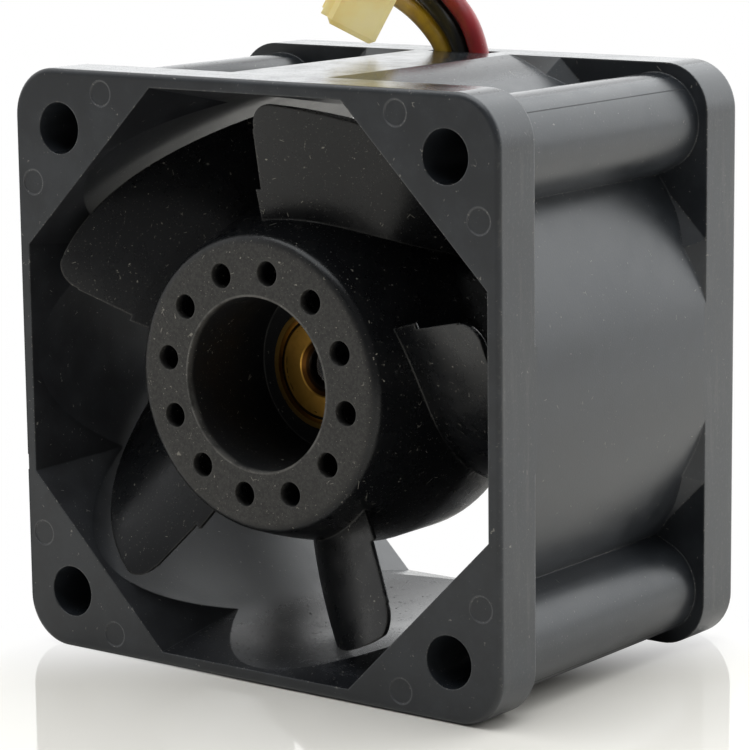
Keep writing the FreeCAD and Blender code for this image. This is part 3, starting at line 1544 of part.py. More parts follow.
os.makedirs("parts", exist_ok=True)
for piece in pieces:
    shape = piece.Shape
    if shape.isNull() or not shape.isValid() or not shape.Solids:
        raise RuntimeError("%s has no valid solid" % piece.Label)
for piece in pieces:
    piece.Shape.exportStep("parts/%s.step" % piece.Label)
    box = piece.Shape.BoundBox
    print("%-26s %2d solids %9.2f mm3  x %6.2f %6.2f  y %6.2f %6.2f  z %6.2f %6.2f" % (
        piece.Label, len(piece.Shape.Solids), piece.Shape.Volume,
        box.XMin, box.XMax, box.YMin, box.YMax, box.ZMin, box.ZMax))
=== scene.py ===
"""Looks of a square server fan module: cords, finishes, floor, light and camera."""
import logging
import math
from dataclasses import dataclass
from enum import Enum

import bpy
from mathutils import Matrix, Vector


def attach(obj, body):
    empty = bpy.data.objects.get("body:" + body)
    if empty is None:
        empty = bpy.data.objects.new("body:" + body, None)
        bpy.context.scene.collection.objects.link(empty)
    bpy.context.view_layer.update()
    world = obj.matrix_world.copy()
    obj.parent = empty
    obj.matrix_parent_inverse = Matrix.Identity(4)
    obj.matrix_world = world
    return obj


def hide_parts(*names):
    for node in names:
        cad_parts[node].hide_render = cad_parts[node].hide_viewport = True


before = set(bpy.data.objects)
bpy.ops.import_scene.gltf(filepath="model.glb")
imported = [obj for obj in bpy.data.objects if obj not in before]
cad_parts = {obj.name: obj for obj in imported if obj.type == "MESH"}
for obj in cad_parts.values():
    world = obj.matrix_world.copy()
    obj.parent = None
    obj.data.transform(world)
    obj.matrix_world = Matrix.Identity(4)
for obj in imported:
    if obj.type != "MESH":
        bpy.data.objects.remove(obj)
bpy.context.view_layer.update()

logging.basicConfig(level=logging.INFO, format="%(message)s")
log = logging.getLogger("server_fan")

MM = 0.001
FRONT = 14.0
AXIS_HEIGHT = 20.0

WHITE = (1.0, 1.0, 1.0, 1.0)

Colour = tuple[float, float, float, float]
Band = tuple[float, float]


def srgb(red: float, green: float, blue: float) -> Colour:
    """Turn a colour written in 0 to 255 display steps into the linear colour a shader takes.

    Args:
        red: Red step.
        green: Green step.
        blue: Blue step.

    Returns:
        Linear red, green, blue and an alpha of 1.
    """
    steps = []
    for step in (red, green, blue):
        share = step / 255.0
        steps.append(share / 12.92 if share <= 0.04045 else ((share + 0.055) / 1.055) ** 2.4)
    return (steps[0], steps[1], steps[2], 1.0)


class Wire:
    """One output of a node, with arithmetic that adds Math nodes behind it."""

    def __init__(self, tree: "Tree", socket: bpy.types.NodeSocket) -> None:
        """Keep the tree and the output.

        Args:
            tree: Node tree that the output belongs to.
            socket: Output socket.
        """
        self.tree = tree
        self.socket = socket

    def math(self, operation: str, *others: "Wire | float",
             first: "Wire | float | None" = None) -> "Wire":
        """Add a Math node.

        Args:
            operation: Blender's name of the operation.
            others: The values after the first one.
            first: The first value, when it isn't this output.

        Returns:
            The node's result.
        """
        start = self if first is None else first
        values = {index: value for index, value in enumerate((start, *others))}
        return self.tree.node("ShaderNodeMath", {"operation": operation}, values)

    def __add__(self, other: "Wire | float") -> "Wire":
        """Sum."""
        return self.math("ADD", other)

    def __radd__(self, other: float) -> "Wire":
        """Sum with a number on the left."""
        return self.math("ADD", other)

    def __sub__(self, other: "Wire | float") -> "Wire":
        """Difference."""
        return self.math("SUBTRACT", other)

    def __rsub__(self, other: float) -> "Wire":
        """Difference with a number on the left."""
        return self.math("SUBTRACT", self, first=other)

    def __mul__(self, other: "Wire | float") -> "Wire":
        """Product."""
        return self.math("MULTIPLY", other)

    def __rmul__(self, other: float) -> "Wire":
        """Product with a number on the left."""
        return self.math("MULTIPLY", other)

    def __pow__(self, other: float) -> "Wire":
        """Power."""
        return self.math("POWER", other)

    def above(self, edge: float) -> "Wire":
        """1 where the value is above the edge, otherwise 0."""
        return self.math("GREATER_THAN", edge)

    def largest(self, other: "Wire | float") -> "Wire":
        """The larger of the two values."""
        return self.math("MAXIMUM", other)

    def smallest(self, other: "Wire | float") -> "Wire":
        """The smaller of the two values."""
        return self.math("MINIMUM", other)

    def size(self) -> "Wire":
        """The value without its sign."""
        return self.math("ABSOLUTE")

    def step(self, low: float, high: float) -> "Wire":
        """Smooth rise from 0 at low to 1 at high.

        Args:
            low: Value where the rise starts.
            high: Value where it ends.

        Returns:
            The share from 0 to 1.
        """
        return self.tree.node(
            "ShaderNodeMapRange",
            {"interpolation_type": "SMOOTHSTEP", "clamp": True},
            {"Value": self, "From Min": low, "From Max": high, "To Min": 0.0, "To Max": 1.0},
        )

    def over(self, band: Band) -> "Wire":
        """Smooth rise over a band that is given in millimetres."""
        return self.step(band[0] * MM, band[1] * MM)


@dataclass(frozen=True)
class Spot:
    """Place of a shaded point, counted from the fan's axis, in metres."""

    across: Wire
    depth: Wire
    rise: Wire

    def radius(self) -> Wire:
        """Distance from the fan's axis."""
        return (self.across * self.across + self.rise * self.rise) ** 0.5


class CellDistance(Enum):
    """What the distance in a cell is measured to, in Blender's names."""

    TO_POINT = "F1"
    TO_BORDER = "DISTANCE_TO_EDGE"


class Tree:
    """Node tree of one material or of the world."""

    def __init__(self, nodes: bpy.types.NodeTree) -> None:
        """Keep the tree, emptied.

        Args:
            nodes: The node tree to fill.
        """
        self.nodes = nodes
        nodes.nodes.clear()

    def node(self, kind: str, settings: dict, values: dict, output: int | str = 0) -> Wire:
        """Add any node.

        Args:
            kind: Blender's node type.
            settings: Settings, set before the values.
            values: Socket name or number, and the value or wire that it takes.
            output: Name or number of the output to hand back.

        Returns:
            The chosen output.
        """
        made = self.nodes.nodes.new(kind)
        for name, setting in settings.items():
            setattr(made, name, setting)
        for name, value in values.items():
            socket = made.inputs[name]
            if isinstance(value, Wire):
                self.nodes.links.new(value.socket, socket)
            else:
                socket.default_value = value
        return Wire(self, made.outputs[output])

    def place(self) -> Wire:
        """Object coordinates, which are the part's own metres."""
        return self.node("ShaderNodeTexCoord", {}, {}, "Object")

    def split(self, vector: Wire) -> tuple[Wire, Wire, Wire]:
        """Break a vector into its three numbers.

        Args:
            vector: Vector output.

        Returns:
            X, Y and Z.
        """
        first = self.node("ShaderNodeSeparateXYZ", {}, {"Vector": vector}, "X")
        made = first.socket.node
        return first, Wire(self, made.outputs["Y"]), Wire(self, made.outputs["Z"])

    def spot(self) -> Spot:
        """Place of the shaded point, counted from the fan's axis."""
        across, depth, upward = self.split(self.place())
        return Spot(across, depth, upward - AXIS_HEIGHT * MM)

    def rounded(self, radius: float) -> tuple[Wire, Wire, Wire]:
        """Normals with rounded edges.

        Args:
            radius: Radius of the rounds in millimetres.

        Returns:
            The rounded normal, the surface's own normal, and how far the two turn apart.
        """
        soft = self.node("ShaderNodeBevel", {"samples": 4}, {"Radius": radius * MM})
        flat = self.node("ShaderNodeNewGeometry", {}, {}, "Normal")
        dot = {"operation": "DOT_PRODUCT"}
        same = self.node("ShaderNodeVectorMath", dot, {0: soft, 1: flat}, "Value")
        return soft, flat, 1.0 - same

    def noise(self, scale: float, detail: float = 2.0, rough: float = 0.5,
              stretch: tuple[float, float, float] = (1.0, 1.0, 1.0)) -> Wire:
        """Soft noise in the part's coordinates.

        Args:
            scale: Grains per metre.
            detail: Number of finer layers.
            rough: Strength of the finer layers.
            stretch: Factor on each coordinate.

        Returns:
            Noise about 0.5.
        """
        where = self.node("ShaderNodeMapping", {}, {"Vector": self.place(), "Scale": stretch})
        return self.node("ShaderNodeTexNoise", {}, {
            "Vector": where, "Scale": scale, "Detail": detail, "Roughness": rough})

    def cells(self, scale: float, measured: CellDistance) -> Wire:
        """Distance in the cells around scattered points.

        Args:
            scale: Cells per metre.
            measured: What the distance is measured to.

        Returns:
            The distance in cells.
        """
        return self.node("ShaderNodeTexVoronoi", {"feature": measured.value}, {
            "Vector": self.place(), "Scale": scale}, "Distance")

    def mix(self, share: Wire | float, first: tuple | Wire, second: tuple | Wire) -> Wire:
        """Mix two colours.

        Args:
            share: Share of the second colour.
            first: First colour.
            second: Second colour.

        Returns:
            The mixed colour.
        """
        return self.node("ShaderNodeMix", {"data_type": "RGBA"}, {0: share, 6: first, 7: second}, 2)

    def bump(self, height: Wire, strength: float, distance: float,
             base: "Wire | None" = None) -> Wire:
        """Bumped normal from a height.

        Args:
            height: Height from 0 to 1.
            strength: Share of the bump that shows.
            distance: Height of a full step in metres.
            base: Normal to start from, when it isn't the surface's own.

        Returns:
            The normal.
        """
        values = {"Height": height, "Strength": strength, "Distance": distance}
        if base is not None:
            values["Normal"] = base
        return self.node("ShaderNodeBump", {}, values)

    def radial(self, spot: Spot) -> Wire:
        """Direction straight out from the fan's axis.

        Args:
            spot: Place of the shaded point.

        Returns:
            Unit vector.
        """
        spoke = self.node("ShaderNodeCombineXYZ", {}, {"X": spot.across, "Y": 0.0, "Z": spot.rise})
        return self.node("ShaderNodeVectorMath", {"operation": "NORMALIZE"}, {0: spoke}, "Vector")

    def blend(self, share: Wire, first: Wire, second: Wire) -> Wire:
        """Mix two vectors.

        Args:
            share: Share of the second vector.
            first: First vector.
            second: Second vector.

        Returns:
            The mixed vector.
        """
        values = {0: share, 4: first, 5: second}
        return self.node("ShaderNodeMix", {"data_type": "VECTOR"}, values, 1)

    def surface(self, sockets: dict) -> None:
        """End the tree with one surface shader.

        Args:
            sockets: Values and wires of the shader's sockets.
        """
        shader = self.node("ShaderNodeBsdfPrincipled", {}, sockets)
        self.node_out(shader)

    def node_out(self, shader: Wire) -> None:
        """Join a shader to the material's output."""
        made = self.nodes.nodes.new("ShaderNodeOutputMaterial")
        self.nodes.links.new(shader.socket, made.inputs["Surface"])


def new_material(name: str) -> tuple[bpy.types.Material, Tree]:
    """Make an empty material.

    Args:
        name: Name of the material.

    Returns:
        The material and its tree.
    """
    material = bpy.data.materials.new(name)
    material.use_nodes = True
    return material, Tree(material.node_tree)


@dataclass(frozen=True)
class Grain:
    """Specks or clouds of one size: noise that shows between two levels."""

    scale: float
    low: float
    high: float
    detail: float = 2.0
    rough: float = 0.5
    stretch: tuple[float, float, float] = (1.0, 1.0, 1.0)

    def show(self, tree: Tree) -> Wire:
        """Share of the grain.

        Args:
            tree: Tree of the material.

        Returns:
            1 in the specks, 0 between them.
        """
        noise = tree.noise(self.scale, self.detail, self.rough, self.stretch)
        return noise.step(self.low, self.high)


@dataclass(frozen=True)
class Fibres:
    """Thin hairs of lint: some of the borders between scattered cells."""

    scale: float
    where: Grain
    width: float = 0.016
    soft: float = 0.01

    def show(self, tree: Tree) -> Wire:
        """Share of the hairs.

        Args:
            tree: Tree of the material.

        Returns:
            1 on the hairs, 0 between them.
        """
        border = tree.cells(self.scale, CellDistance.TO_BORDER)
        return (self.width - border).step(0.0, self.soft) * self.where.show(tree)


@dataclass(frozen=True)
class BlackMoulding:
    """Black moulding: painted darker in the air path as shade, paler outside, with dust and worn
    edges.

    Places and bands are in millimetres from the fan's axis or its middle.
    """

    name: str = "frame_moulding"
    # deep: colour of the air path, painted dark as shade; it also gives the random darker tone
    # outside and the parting line.
    deep: Colour = srgb(23, 24, 27)
    outside_tone: Colour = srgb(36, 39, 43)
    rubbed: Colour = srgb(88, 89, 92)
    film_tint: Colour = srgb(90, 94, 100)
    scuff_tint: Colour = srgb(92, 90, 86)
    pepper_tint: Colour = srgb(70, 66, 60)
    fleck: Colour = srgb(176, 172, 162)
    gloss_rough: float = 0.31
    lint_share: float = 0.675
    film_share: float = 0.11
    edge_round: float = 0.16
    mark_radius: float = 0.85
    mark_near: float = 12.2
    mark_far: float = 18.5
    mark_plane: float = 13.8
    mark_rim: Band = (0.03, 0.11)
    mouth: Band = (19.12, 19.18)
    face: Band = (13.92, 13.98)
    flange_back: Band = (9.8, 10.1)
    flank: Band = (19.75, 19.9)
    strip: Band = (19.5, 19.8)
    tube: Band = (19.98, 20.1)
    skin_start: Band = (19.85, 19.9)
    skin_end: Band = (20.43, 20.47)
    skin_side: Band = (0.0, 1.0)
    seam_width: Band = (0.04, 0.09)
    seam_start: Band = (20.8, 21.0)
    lumps: Grain = Grain(2600.0, 0.70, 0.76, rough=0.55)
    motes: Grain = Grain(6500.0, 0.69, 0.76)
    crumbs: Grain = Grain(5200.0, 0.60, 0.66, rough=0.6)
    hairs: Fibres = Fibres(620.0, Grain(1500.0, 0.66, 0.71))
    streaks: Grain = Grain(1500.0, 0.50, 0.74, 3.0, 0.6, (1.0, 1.0, 0.10))
    grit: Grain = Grain(3800.0, 0.56, 0.70, rough=0.6)
    pepper: Grain = Grain(4300.0, 0.66, 0.70, rough=0.6)

    def between(self, spot: Spot) -> Wire:
        """1 between the two flanges, 0 on them."""
        return 1.0 - spot.depth.size().over(self.flange_back)

    def outside(self, spot: Spot) -> Wire:
        """Share of the paler outside colour, set against the darker colour painted as shade in the
        air path.

        Args:
            spot: Place of the shaded point.

        Returns:
            1 outside, 0 in the air path.
        """
        side = spot.across.size()
        height = spot.rise.size()
        octagon = side.largest(height).largest((side + height) * math.sqrt(0.5))
        past_mouth = octagon.over(self.mouth)
        face = spot.depth.size().over(self.face)
        past_tube = spot.radius().over(self.tube) * self.between(spot)
        return past_mouth.largest(face).largest(past_tube)

    def marks(self, spot: Spot) -> Wire:
        """Share of the thin rims of the round ejector marks on the front plates.

        Args:
            spot: Place of the shaded point.

        Returns:
            1 on the rims.
        """
        side = spot.across.size()
        height = spot.rise.size()
        near, far = self.mark_near * MM, self.mark_far * MM
        first = ((side - far) ** 2.0 + (height - near) ** 2.0) ** 0.5
        second = ((side - near) ** 2.0 + (height - far) ** 2.0) ** 0.5
        rim = (first.smallest(second) - self.mark_radius * MM).size()
        on_front = (spot.depth * -1.0).above(self.mark_plane * MM)
        return (1.0 - rim.over(self.mark_rim)) * on_front

    def seam(self, spot: Spot) -> Wire:
        """Share of the thin parting line along the pillars.

        Args:
            spot: Place of the shaded point.

        Returns:
            1 on the line.
        """
        apart = (spot.across.size() - spot.rise.size()).size()
        line = 1.0 - apart.over(self.seam_width)
        return line * spot.radius().over(self.seam_start) * self.between(spot)

    def dust(self, tree: Tree, outside: Wire, cloud: Wire, haze: Wire, turned: Wire) -> Wire:
        """Lint and dust.

        Args:
            tree: Tree of the material.
            outside: Share of the outside finish.
            cloud: Large soft noise that gathers the small specks.
            haze: Smaller soft noise that gathers the large specks.
            turned: How far the surface turns away at an edge.

        Returns:
            Share of dust, which may pass 1.
        """
        lumps = self.lumps.show(tree) * haze.step(0.44, 0.58)
        motes = self.motes.show(tree) * cloud.step(0.40, 0.60)
        crumbs = self.crumbs.show(tree) * turned.step(0.005, 0.05) * outside
        hairs = self.hairs.show(tree)
        return (lumps * 0.60 + motes * 0.45 + hairs * 0.65 + crumbs * 0.8) * self.lint_share

    def normal(self, tree: Tree, spot: Spot, soft: Wire, left: Wire) -> Wire:
        """Rounded normal, evened out on the tube and on the thin strip left of the mouth.

        Args:
            tree: Tree of the material.
            spot: Place of the shaded point.
            soft: Normal with rounded edges.
            left: Share of the frame's left side.

        Returns:
            The normal before the bump.
        """
        ahead = tree.node("ShaderNodeCombineXYZ", {}, {"X": 0.0, "Y": -1.0, "Z": 0.0})
        lip = left * (tree.split(soft)[1] * -1.0).step(0.30, 0.45)
        level_lip = tree.blend(lip * 0.85, soft, ahead)
        radius = spot.radius()
        beside = (spot.across.size() - spot.rise.size()).over(self.skin_side)
        skin = radius.over(self.skin_start) * (1.0 - radius.over(self.skin_end))
        return tree.blend(skin * self.between(spot) * beside, level_lip, tree.radial(spot))

    def build(self) -> bpy.types.Material:
        """Make the material.

        Returns:
            The finished material.
        """
        material, tree = new_material(self.name)
        spot = tree.spot()
        outside = self.outside(spot)
        cloud = tree.noise(110.0, 4.0, 0.62)
        haze = tree.noise(520.0, 4.0, 0.62)
        pores = tree.noise(7500.0, 2.0, 0.6)
        film = (cloud * 0.55 + haze * 0.45).step(0.40, 0.66)
        soft, flat, turned = tree.rounded(self.edge_round)
        lint = self.dust(tree, outside, cloud, haze, turned)
        edge = turned.step(0.03, 0.30) * haze.step(0.30, 0.55)
        level = tree.split(flat)[2].step(0.90, 0.98)
        left = (spot.across * -1.0).over(self.strip)
        flank = spot.across.size().over(self.flank) * (1.0 - self.between(spot))
        seam = self.seam(spot)
        pepper = self.pepper.show(tree) * level
        scuffs = self.streaks.show(tree) * 0.22 + self.grit.show(tree) * 0.24
        # Painted shade: the air path takes the deep colour, darker than the paler outside faces;
        # outside, some deep colour shows at random where the film is thin.
        moulded = tree.mix(outside * (0.80 + film * 0.20), self.deep, self.outside_tone)
        hazed = tree.mix(film * self.film_share, moulded, self.film_tint)
        scuffed = tree.mix(flank * scuffs, hazed, self.scuff_tint)
        worn = tree.mix(edge * (0.25 + outside * 0.5), scuffed, self.rubbed)
        marked = tree.mix(self.marks(spot) * 0.5, worn, self.rubbed)
        seamed = tree.mix(seam, marked, self.deep)
        peppered = tree.mix(pepper * 0.6, seamed, self.pepper_tint)
        colour = tree.mix(lint.smallest(1.0), peppered, self.fleck)
        height = pores * 0.5 + haze * 0.2 + lint * 0.9 - seam * 1.2
        by_place = (1.0 - outside) * 0.08 + left * 0.34 - level * 0.18
        by_grain = film * 0.08 + (pores - 0.5) * 0.10 + lint * 0.3 + seam * 0.3 + pepper * 0.5
        tree.surface({
            "Base Color": colour,
            "Roughness": self.gloss_rough + by_place + by_grain,
            "Specular IOR Level": 0.48,
            "Normal": tree.bump(height, 0.35, 0.03 * MM, self.normal(tree, spot, soft, left)),
        })
        return material


@dataclass(frozen=True)
class RotorMoulding:
    """Black moulding of the impeller, with the blasted grain of its front ring.

    Radii and bands are in millimetres from the fan's axis or its middle.
    """

    name: str = "impeller_moulding"
    deep: Colour = srgb(17, 18, 20)
    blade: Colour = srgb(23, 24, 26)
    ring: Colour = srgb(63, 62, 60)
    # rubbed: colour of worn edges, and of the painted highlight on the well's mouth.
    rubbed: Colour = srgb(112, 110, 106)
    fleck: Colour = srgb(186, 182, 170)
    edge_round: float = 0.20
    face: Band = (12.45, 13.15)
    ring_start: Band = (5.70, 5.85)
    ring_end: Band = (9.15, 9.70)
    well_edge: Band = (5.80, 5.85)
    # mouth: band of the painted highlight on the rounded mouth of the well.
    mouth: Band = (5.89, 5.99)
    hub_edge: Band = (12.25, 12.45)
    lumps: Grain = Grain(3000.0, 0.68, 0.75, rough=0.55)
    motes: Grain = Grain(7500.0, 0.66, 0.74)
    hairs: Fibres = Fibres(700.0, Grain(1700.0, 0.64, 0.70))

    def build(self) -> bpy.types.Material:
        """Make the material.

        Returns:
            The finished material.
        """
        material, tree = new_material(self.name)
        spot = tree.spot()
        radius = spot.radius()
        face = (spot.depth * -1.0).over(self.face)
        ring = face * radius.over(self.ring_start) * (1.0 - radius.over(self.ring_end))
        well = 1.0 - radius.over(self.well_edge)
        blades = radius.over(self.hub_edge)
        cloud = tree.noise(130.0, 4.0, 0.62)
        haze = tree.noise(600.0, 4.0, 0.62)
        pores = tree.noise(5200.0, 3.0, 0.7)
        film = (cloud * 0.5 + haze * 0.5).step(0.42, 0.66)
        lumps = self.lumps.show(tree) * haze.step(0.42, 0.58)
        motes = self.motes.show(tree) * (0.14 + ring * 0.34)
        lint = lumps * 0.55 + motes + self.hairs.show(tree) * 0.42
        soft, _, turned = tree.rounded(self.edge_round)
        edge = turned.step(0.03, 0.30) * haze.step(0.30, 0.55)
        # Painted highlight: a patchy light band in the rubbed colour on the well's rounded mouth,
        # next to the real edge wear.
        mouth = ring * (1.0 - radius.over(self.mouth)) * haze.step(0.30, 0.60)
        body = tree.mix(blades * (0.6 + film * 0.4), self.deep, self.blade)
        ringed = tree.mix(ring * (0.55 + pores.step(0.36, 0.64) * 0.45), body, self.ring)
        worn = tree.mix((edge * 0.5).largest(mouth * 0.7), ringed, self.rubbed)
        colour = tree.mix(lint.smallest(1.0), worn, self.fleck)
        height = pores * (0.35 + ring * 0.65) + haze * 0.2 + lint * 0.8
        tree.surface({
            "Base Color": colour,
            "Roughness": 0.25 + ring * 0.27 + well * 0.30 + film * 0.10 + lint * 0.3,
            "Specular IOR Level": 0.31,
            "Normal": tree.bump(height, 0.4, 0.04 * MM, soft),
        })
        return material


@dataclass(frozen=True)
class Metal:
    """Turned, drawn or ground metal with fine marks and a little tarnish."""

    name: str
    colour: Colour
    dark: Colour
    roughness: float = 0.28
    lines: float = 4000.0
    metallic: float = 1.0
    tarnish: Grain = Grain(500.0, 0.42, 0.72, 3.0, 0.6)

    def build(self) -> bpy.types.Material:
        """Make the material.

        Returns:
            The finished material.
        """
        material, tree = new_material(self.name)
        spot = tree.spot()
        rings = tree.node("ShaderNodeTexNoise", {"noise_dimensions": "1D"}, {
            "W": spot.radius() + spot.depth * 0.7, "Scale": self.lines, "Detail": 3.0})
        stain = self.tarnish.show(tree)
        tree.surface({
            "Base Color": tree.mix(stain * 0.6, self.colour, self.dark),
            "Metallic": self.metallic,
            "Roughness": self.roughness + stain * 0.18 + (rings - 0.5) * 0.2,
            "Normal": tree.bump(rings, 0.25, 0.01 * MM),
        })
        return material


@dataclass(frozen=True)
class TurnedBush:
    """Tarnished brass bush: outer rim darker than the amber face, groove and bore painted dark as
    shade, and a stain-coloured band between face and bore.

    Bands are in millimetres from the fan's axis.
    """

    name: str = "turned_bush"
    face: Colour = srgb(202, 154, 70)
    rim: Colour = srgb(172, 136, 70)
    # The groove colour here and the bore colour below are dark colours painted as shade in the
    # groove and the bore.
    shaded_groove: Colour = srgb(34, 28, 20)
    stain: Colour = srgb(92, 60, 26)
    shaded_bore: Colour = srgb(40, 28, 16)
    rim_start: Band = (3.56, 3.64)
    groove_start: Band = (3.30, 3.38)
    face_start: Band = (1.88, 1.94)
    throat_start: Band = (1.62, 1.72)
    stains: Grain = Grain(420.0, 0.40, 0.70, 3.0, 0.6)

    def build(self) -> bpy.types.Material:
        """Make the material.

        Returns:
            The finished material.
        """
        material, tree = new_material(self.name)
        radius = tree.spot().radius()
        marks = tree.node("ShaderNodeTexNoise", {"noise_dimensions": "1D"}, {
            "W": radius * (1.0 / MM), "Scale": 4.0, "Detail": 3.0})
        stains = self.stains.show(tree)
        # Painted shade: the groove between rim and face and the bore inside the throat are coloured
        # dark.
        rimmed = tree.mix(radius.over(self.rim_start), self.shaded_groove, self.rim)
        faced = tree.mix(radius.over(self.groove_start), self.face, rimmed)
        throated = tree.mix(radius.over(self.face_start), self.stain, faced)
        lipped = tree.mix(radius.over(self.throat_start), self.shaded_bore, throated)
        colour = tree.mix(stains * 0.5, lipped, self.stain)
        tree.surface({
            "Base Color": colour,
            "Metallic": 1.0,
            "Roughness": 0.30 + stains * 0.15 + (marks - 0.5) * 0.15,
            "Normal": tree.bump(marks, 0.2, 0.01 * MM),
        })
        return material


@dataclass(frozen=True)
class Insulation:
    """Smooth soft insulation of a lead."""

    name: str
    colour: Colour
    shade: Colour
    roughness: float = 0.34
    shine: float = 0.5
    speck: Colour = srgb(190, 186, 176)

    def build(self) -> bpy.types.Material:
        """Make the material.

        Returns:
            The finished material.
        """
        material, tree = new_material(self.name)
        patches = tree.noise(700.0, 3.0, 0.5)
        fine = tree.noise(6000.0, 2.0, 0.5)
        specks = (0.07 - tree.cells(1500.0, CellDistance.TO_POINT)).step(0.0, 0.03)
        colour = tree.mix(patches.step(0.35, 0.7), self.colour, self.shade)
        tree.surface({
            "Base Color": tree.mix(specks * 0.25, colour, self.speck),
            "Roughness": self.roughness + patches * 0.16,
            "Specular IOR Level": self.shine,
            "Normal": tree.bump(patches * 0.7 + fine * 0.3, 0.2, 0.06 * MM),
        })
        return material


@dataclass(frozen=True)
class Moulded:
    """Coloured moulding of a small part, such as a plug or an insulator."""

    name: str
    colour: Colour
    shade: Colour
    roughness: float = 0.4
    # glow: share of translucency, and strength of the painted glow from emission.
    glow_and_translucency: float = 0.0

    def build(self) -> bpy.types.Material:
        """Make the material.

        Returns:
            The finished material.
        """
        material, tree = new_material(self.name)
        patches = tree.noise(300.0, 3.0, 0.5)
        fine = tree.noise(5000.0, 2.0, 0.5)
        colour = tree.mix(patches.step(0.35, 0.7), self.colour, self.shade)
        solid = tree.node("ShaderNodeBsdfPrincipled", {}, {
            "Base Color": colour,
            "Roughness": self.roughness + (fine - 0.5) * 0.15,
            # Painted glow: emission in the moulding's own colour makes the part shine as if lit
            # through it.
            "Emission Color": colour,
            "Emission Strength": self.glow_and_translucency * 0.6,
            "Normal": tree.bump(patches * 0.5 + fine * 0.5, 0.25, 0.03 * MM),
        })
        if self.glow_and_translucency > 0.0:
            clear = tree.node("ShaderNodeBsdfTranslucent", {}, {"Color": colour})
            solid = tree.node("ShaderNodeMixShader", {}, {0: self.glow_and_translucency, 1: solid, 2: clear})
        tree.node_out(solid)
        return material


TINNED = Metal("tinned_metal", srgb(200, 200, 196), srgb(150, 148, 140), 0.3)
# The nylon plug gets a painted glow from emission, besides its translucent share.
NYLON = Moulded("natural_nylon", srgb(251, 244, 204), srgb(240, 226, 168), 0.30, 0.5)


def dress(name: str, material: bpy.types.Material) -> None:
    """Give a CAD node a material.

    Args:
        name: Name of the node.
        material: The material for all its faces.
    """
    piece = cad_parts[name]
    piece.data.materials.clear()
    piece.data.materials.append(material)
    log.info("dressed %s in %s", name, material.name)


def points(*places: tuple[float, float, float]) -> list[Vector]:
    """Turn places in millimetres into points in metres."""
    return [Vector(place) * MM for place in places]


@dataclass
class Plug:
    """Three-way plug that stands on one corner on top of the frame."""

    place: tuple[float, float] = (-4.76, 6.18)
    rest: float = 0.8
    thickness: float = 3.7
    height: float = 7.6
    entry: float = 1.4
    lean: float = 28.0
    turn: float = 37.2
    pitch: float = 2.0

    def axes(self) -> tuple[Vector, Vector, Vector]:
        """Directions of the row, the thickness and the height.

        Returns:
            Three unit vectors.
        """
        turn = math.radians(self.turn)
        lean = math.radians(self.lean)
        row = Vector((-math.sin(turn), math.cos(turn), 0.0))
        side = Vector((math.cos(turn), math.sin(turn), 0.0))
        across = side * math.cos(lean) - Vector((0.0, 0.0, 1.0)) * math.sin(lean)
        upward = side * math.sin(lean) + Vector((0.0, 0.0, 1.0)) * math.cos(lean)
        return row, across, upward

    def top(self) -> Vector:
        """Middle of the face that the leads enter, in metres."""
        _, across, upward = self.axes()
        lowest = Vector((self.place[0], self.place[1], 2 * AXIS_HEIGHT + self.rest))
        return (lowest - across * self.thickness / 2 + upward * self.height) * MM

    def dress(self) -> None:
        """Give the housing and its terminals their finishes."""
        dress("connector_housing", NYLON.build())
        dress("connector_terminals", TINNED.build())


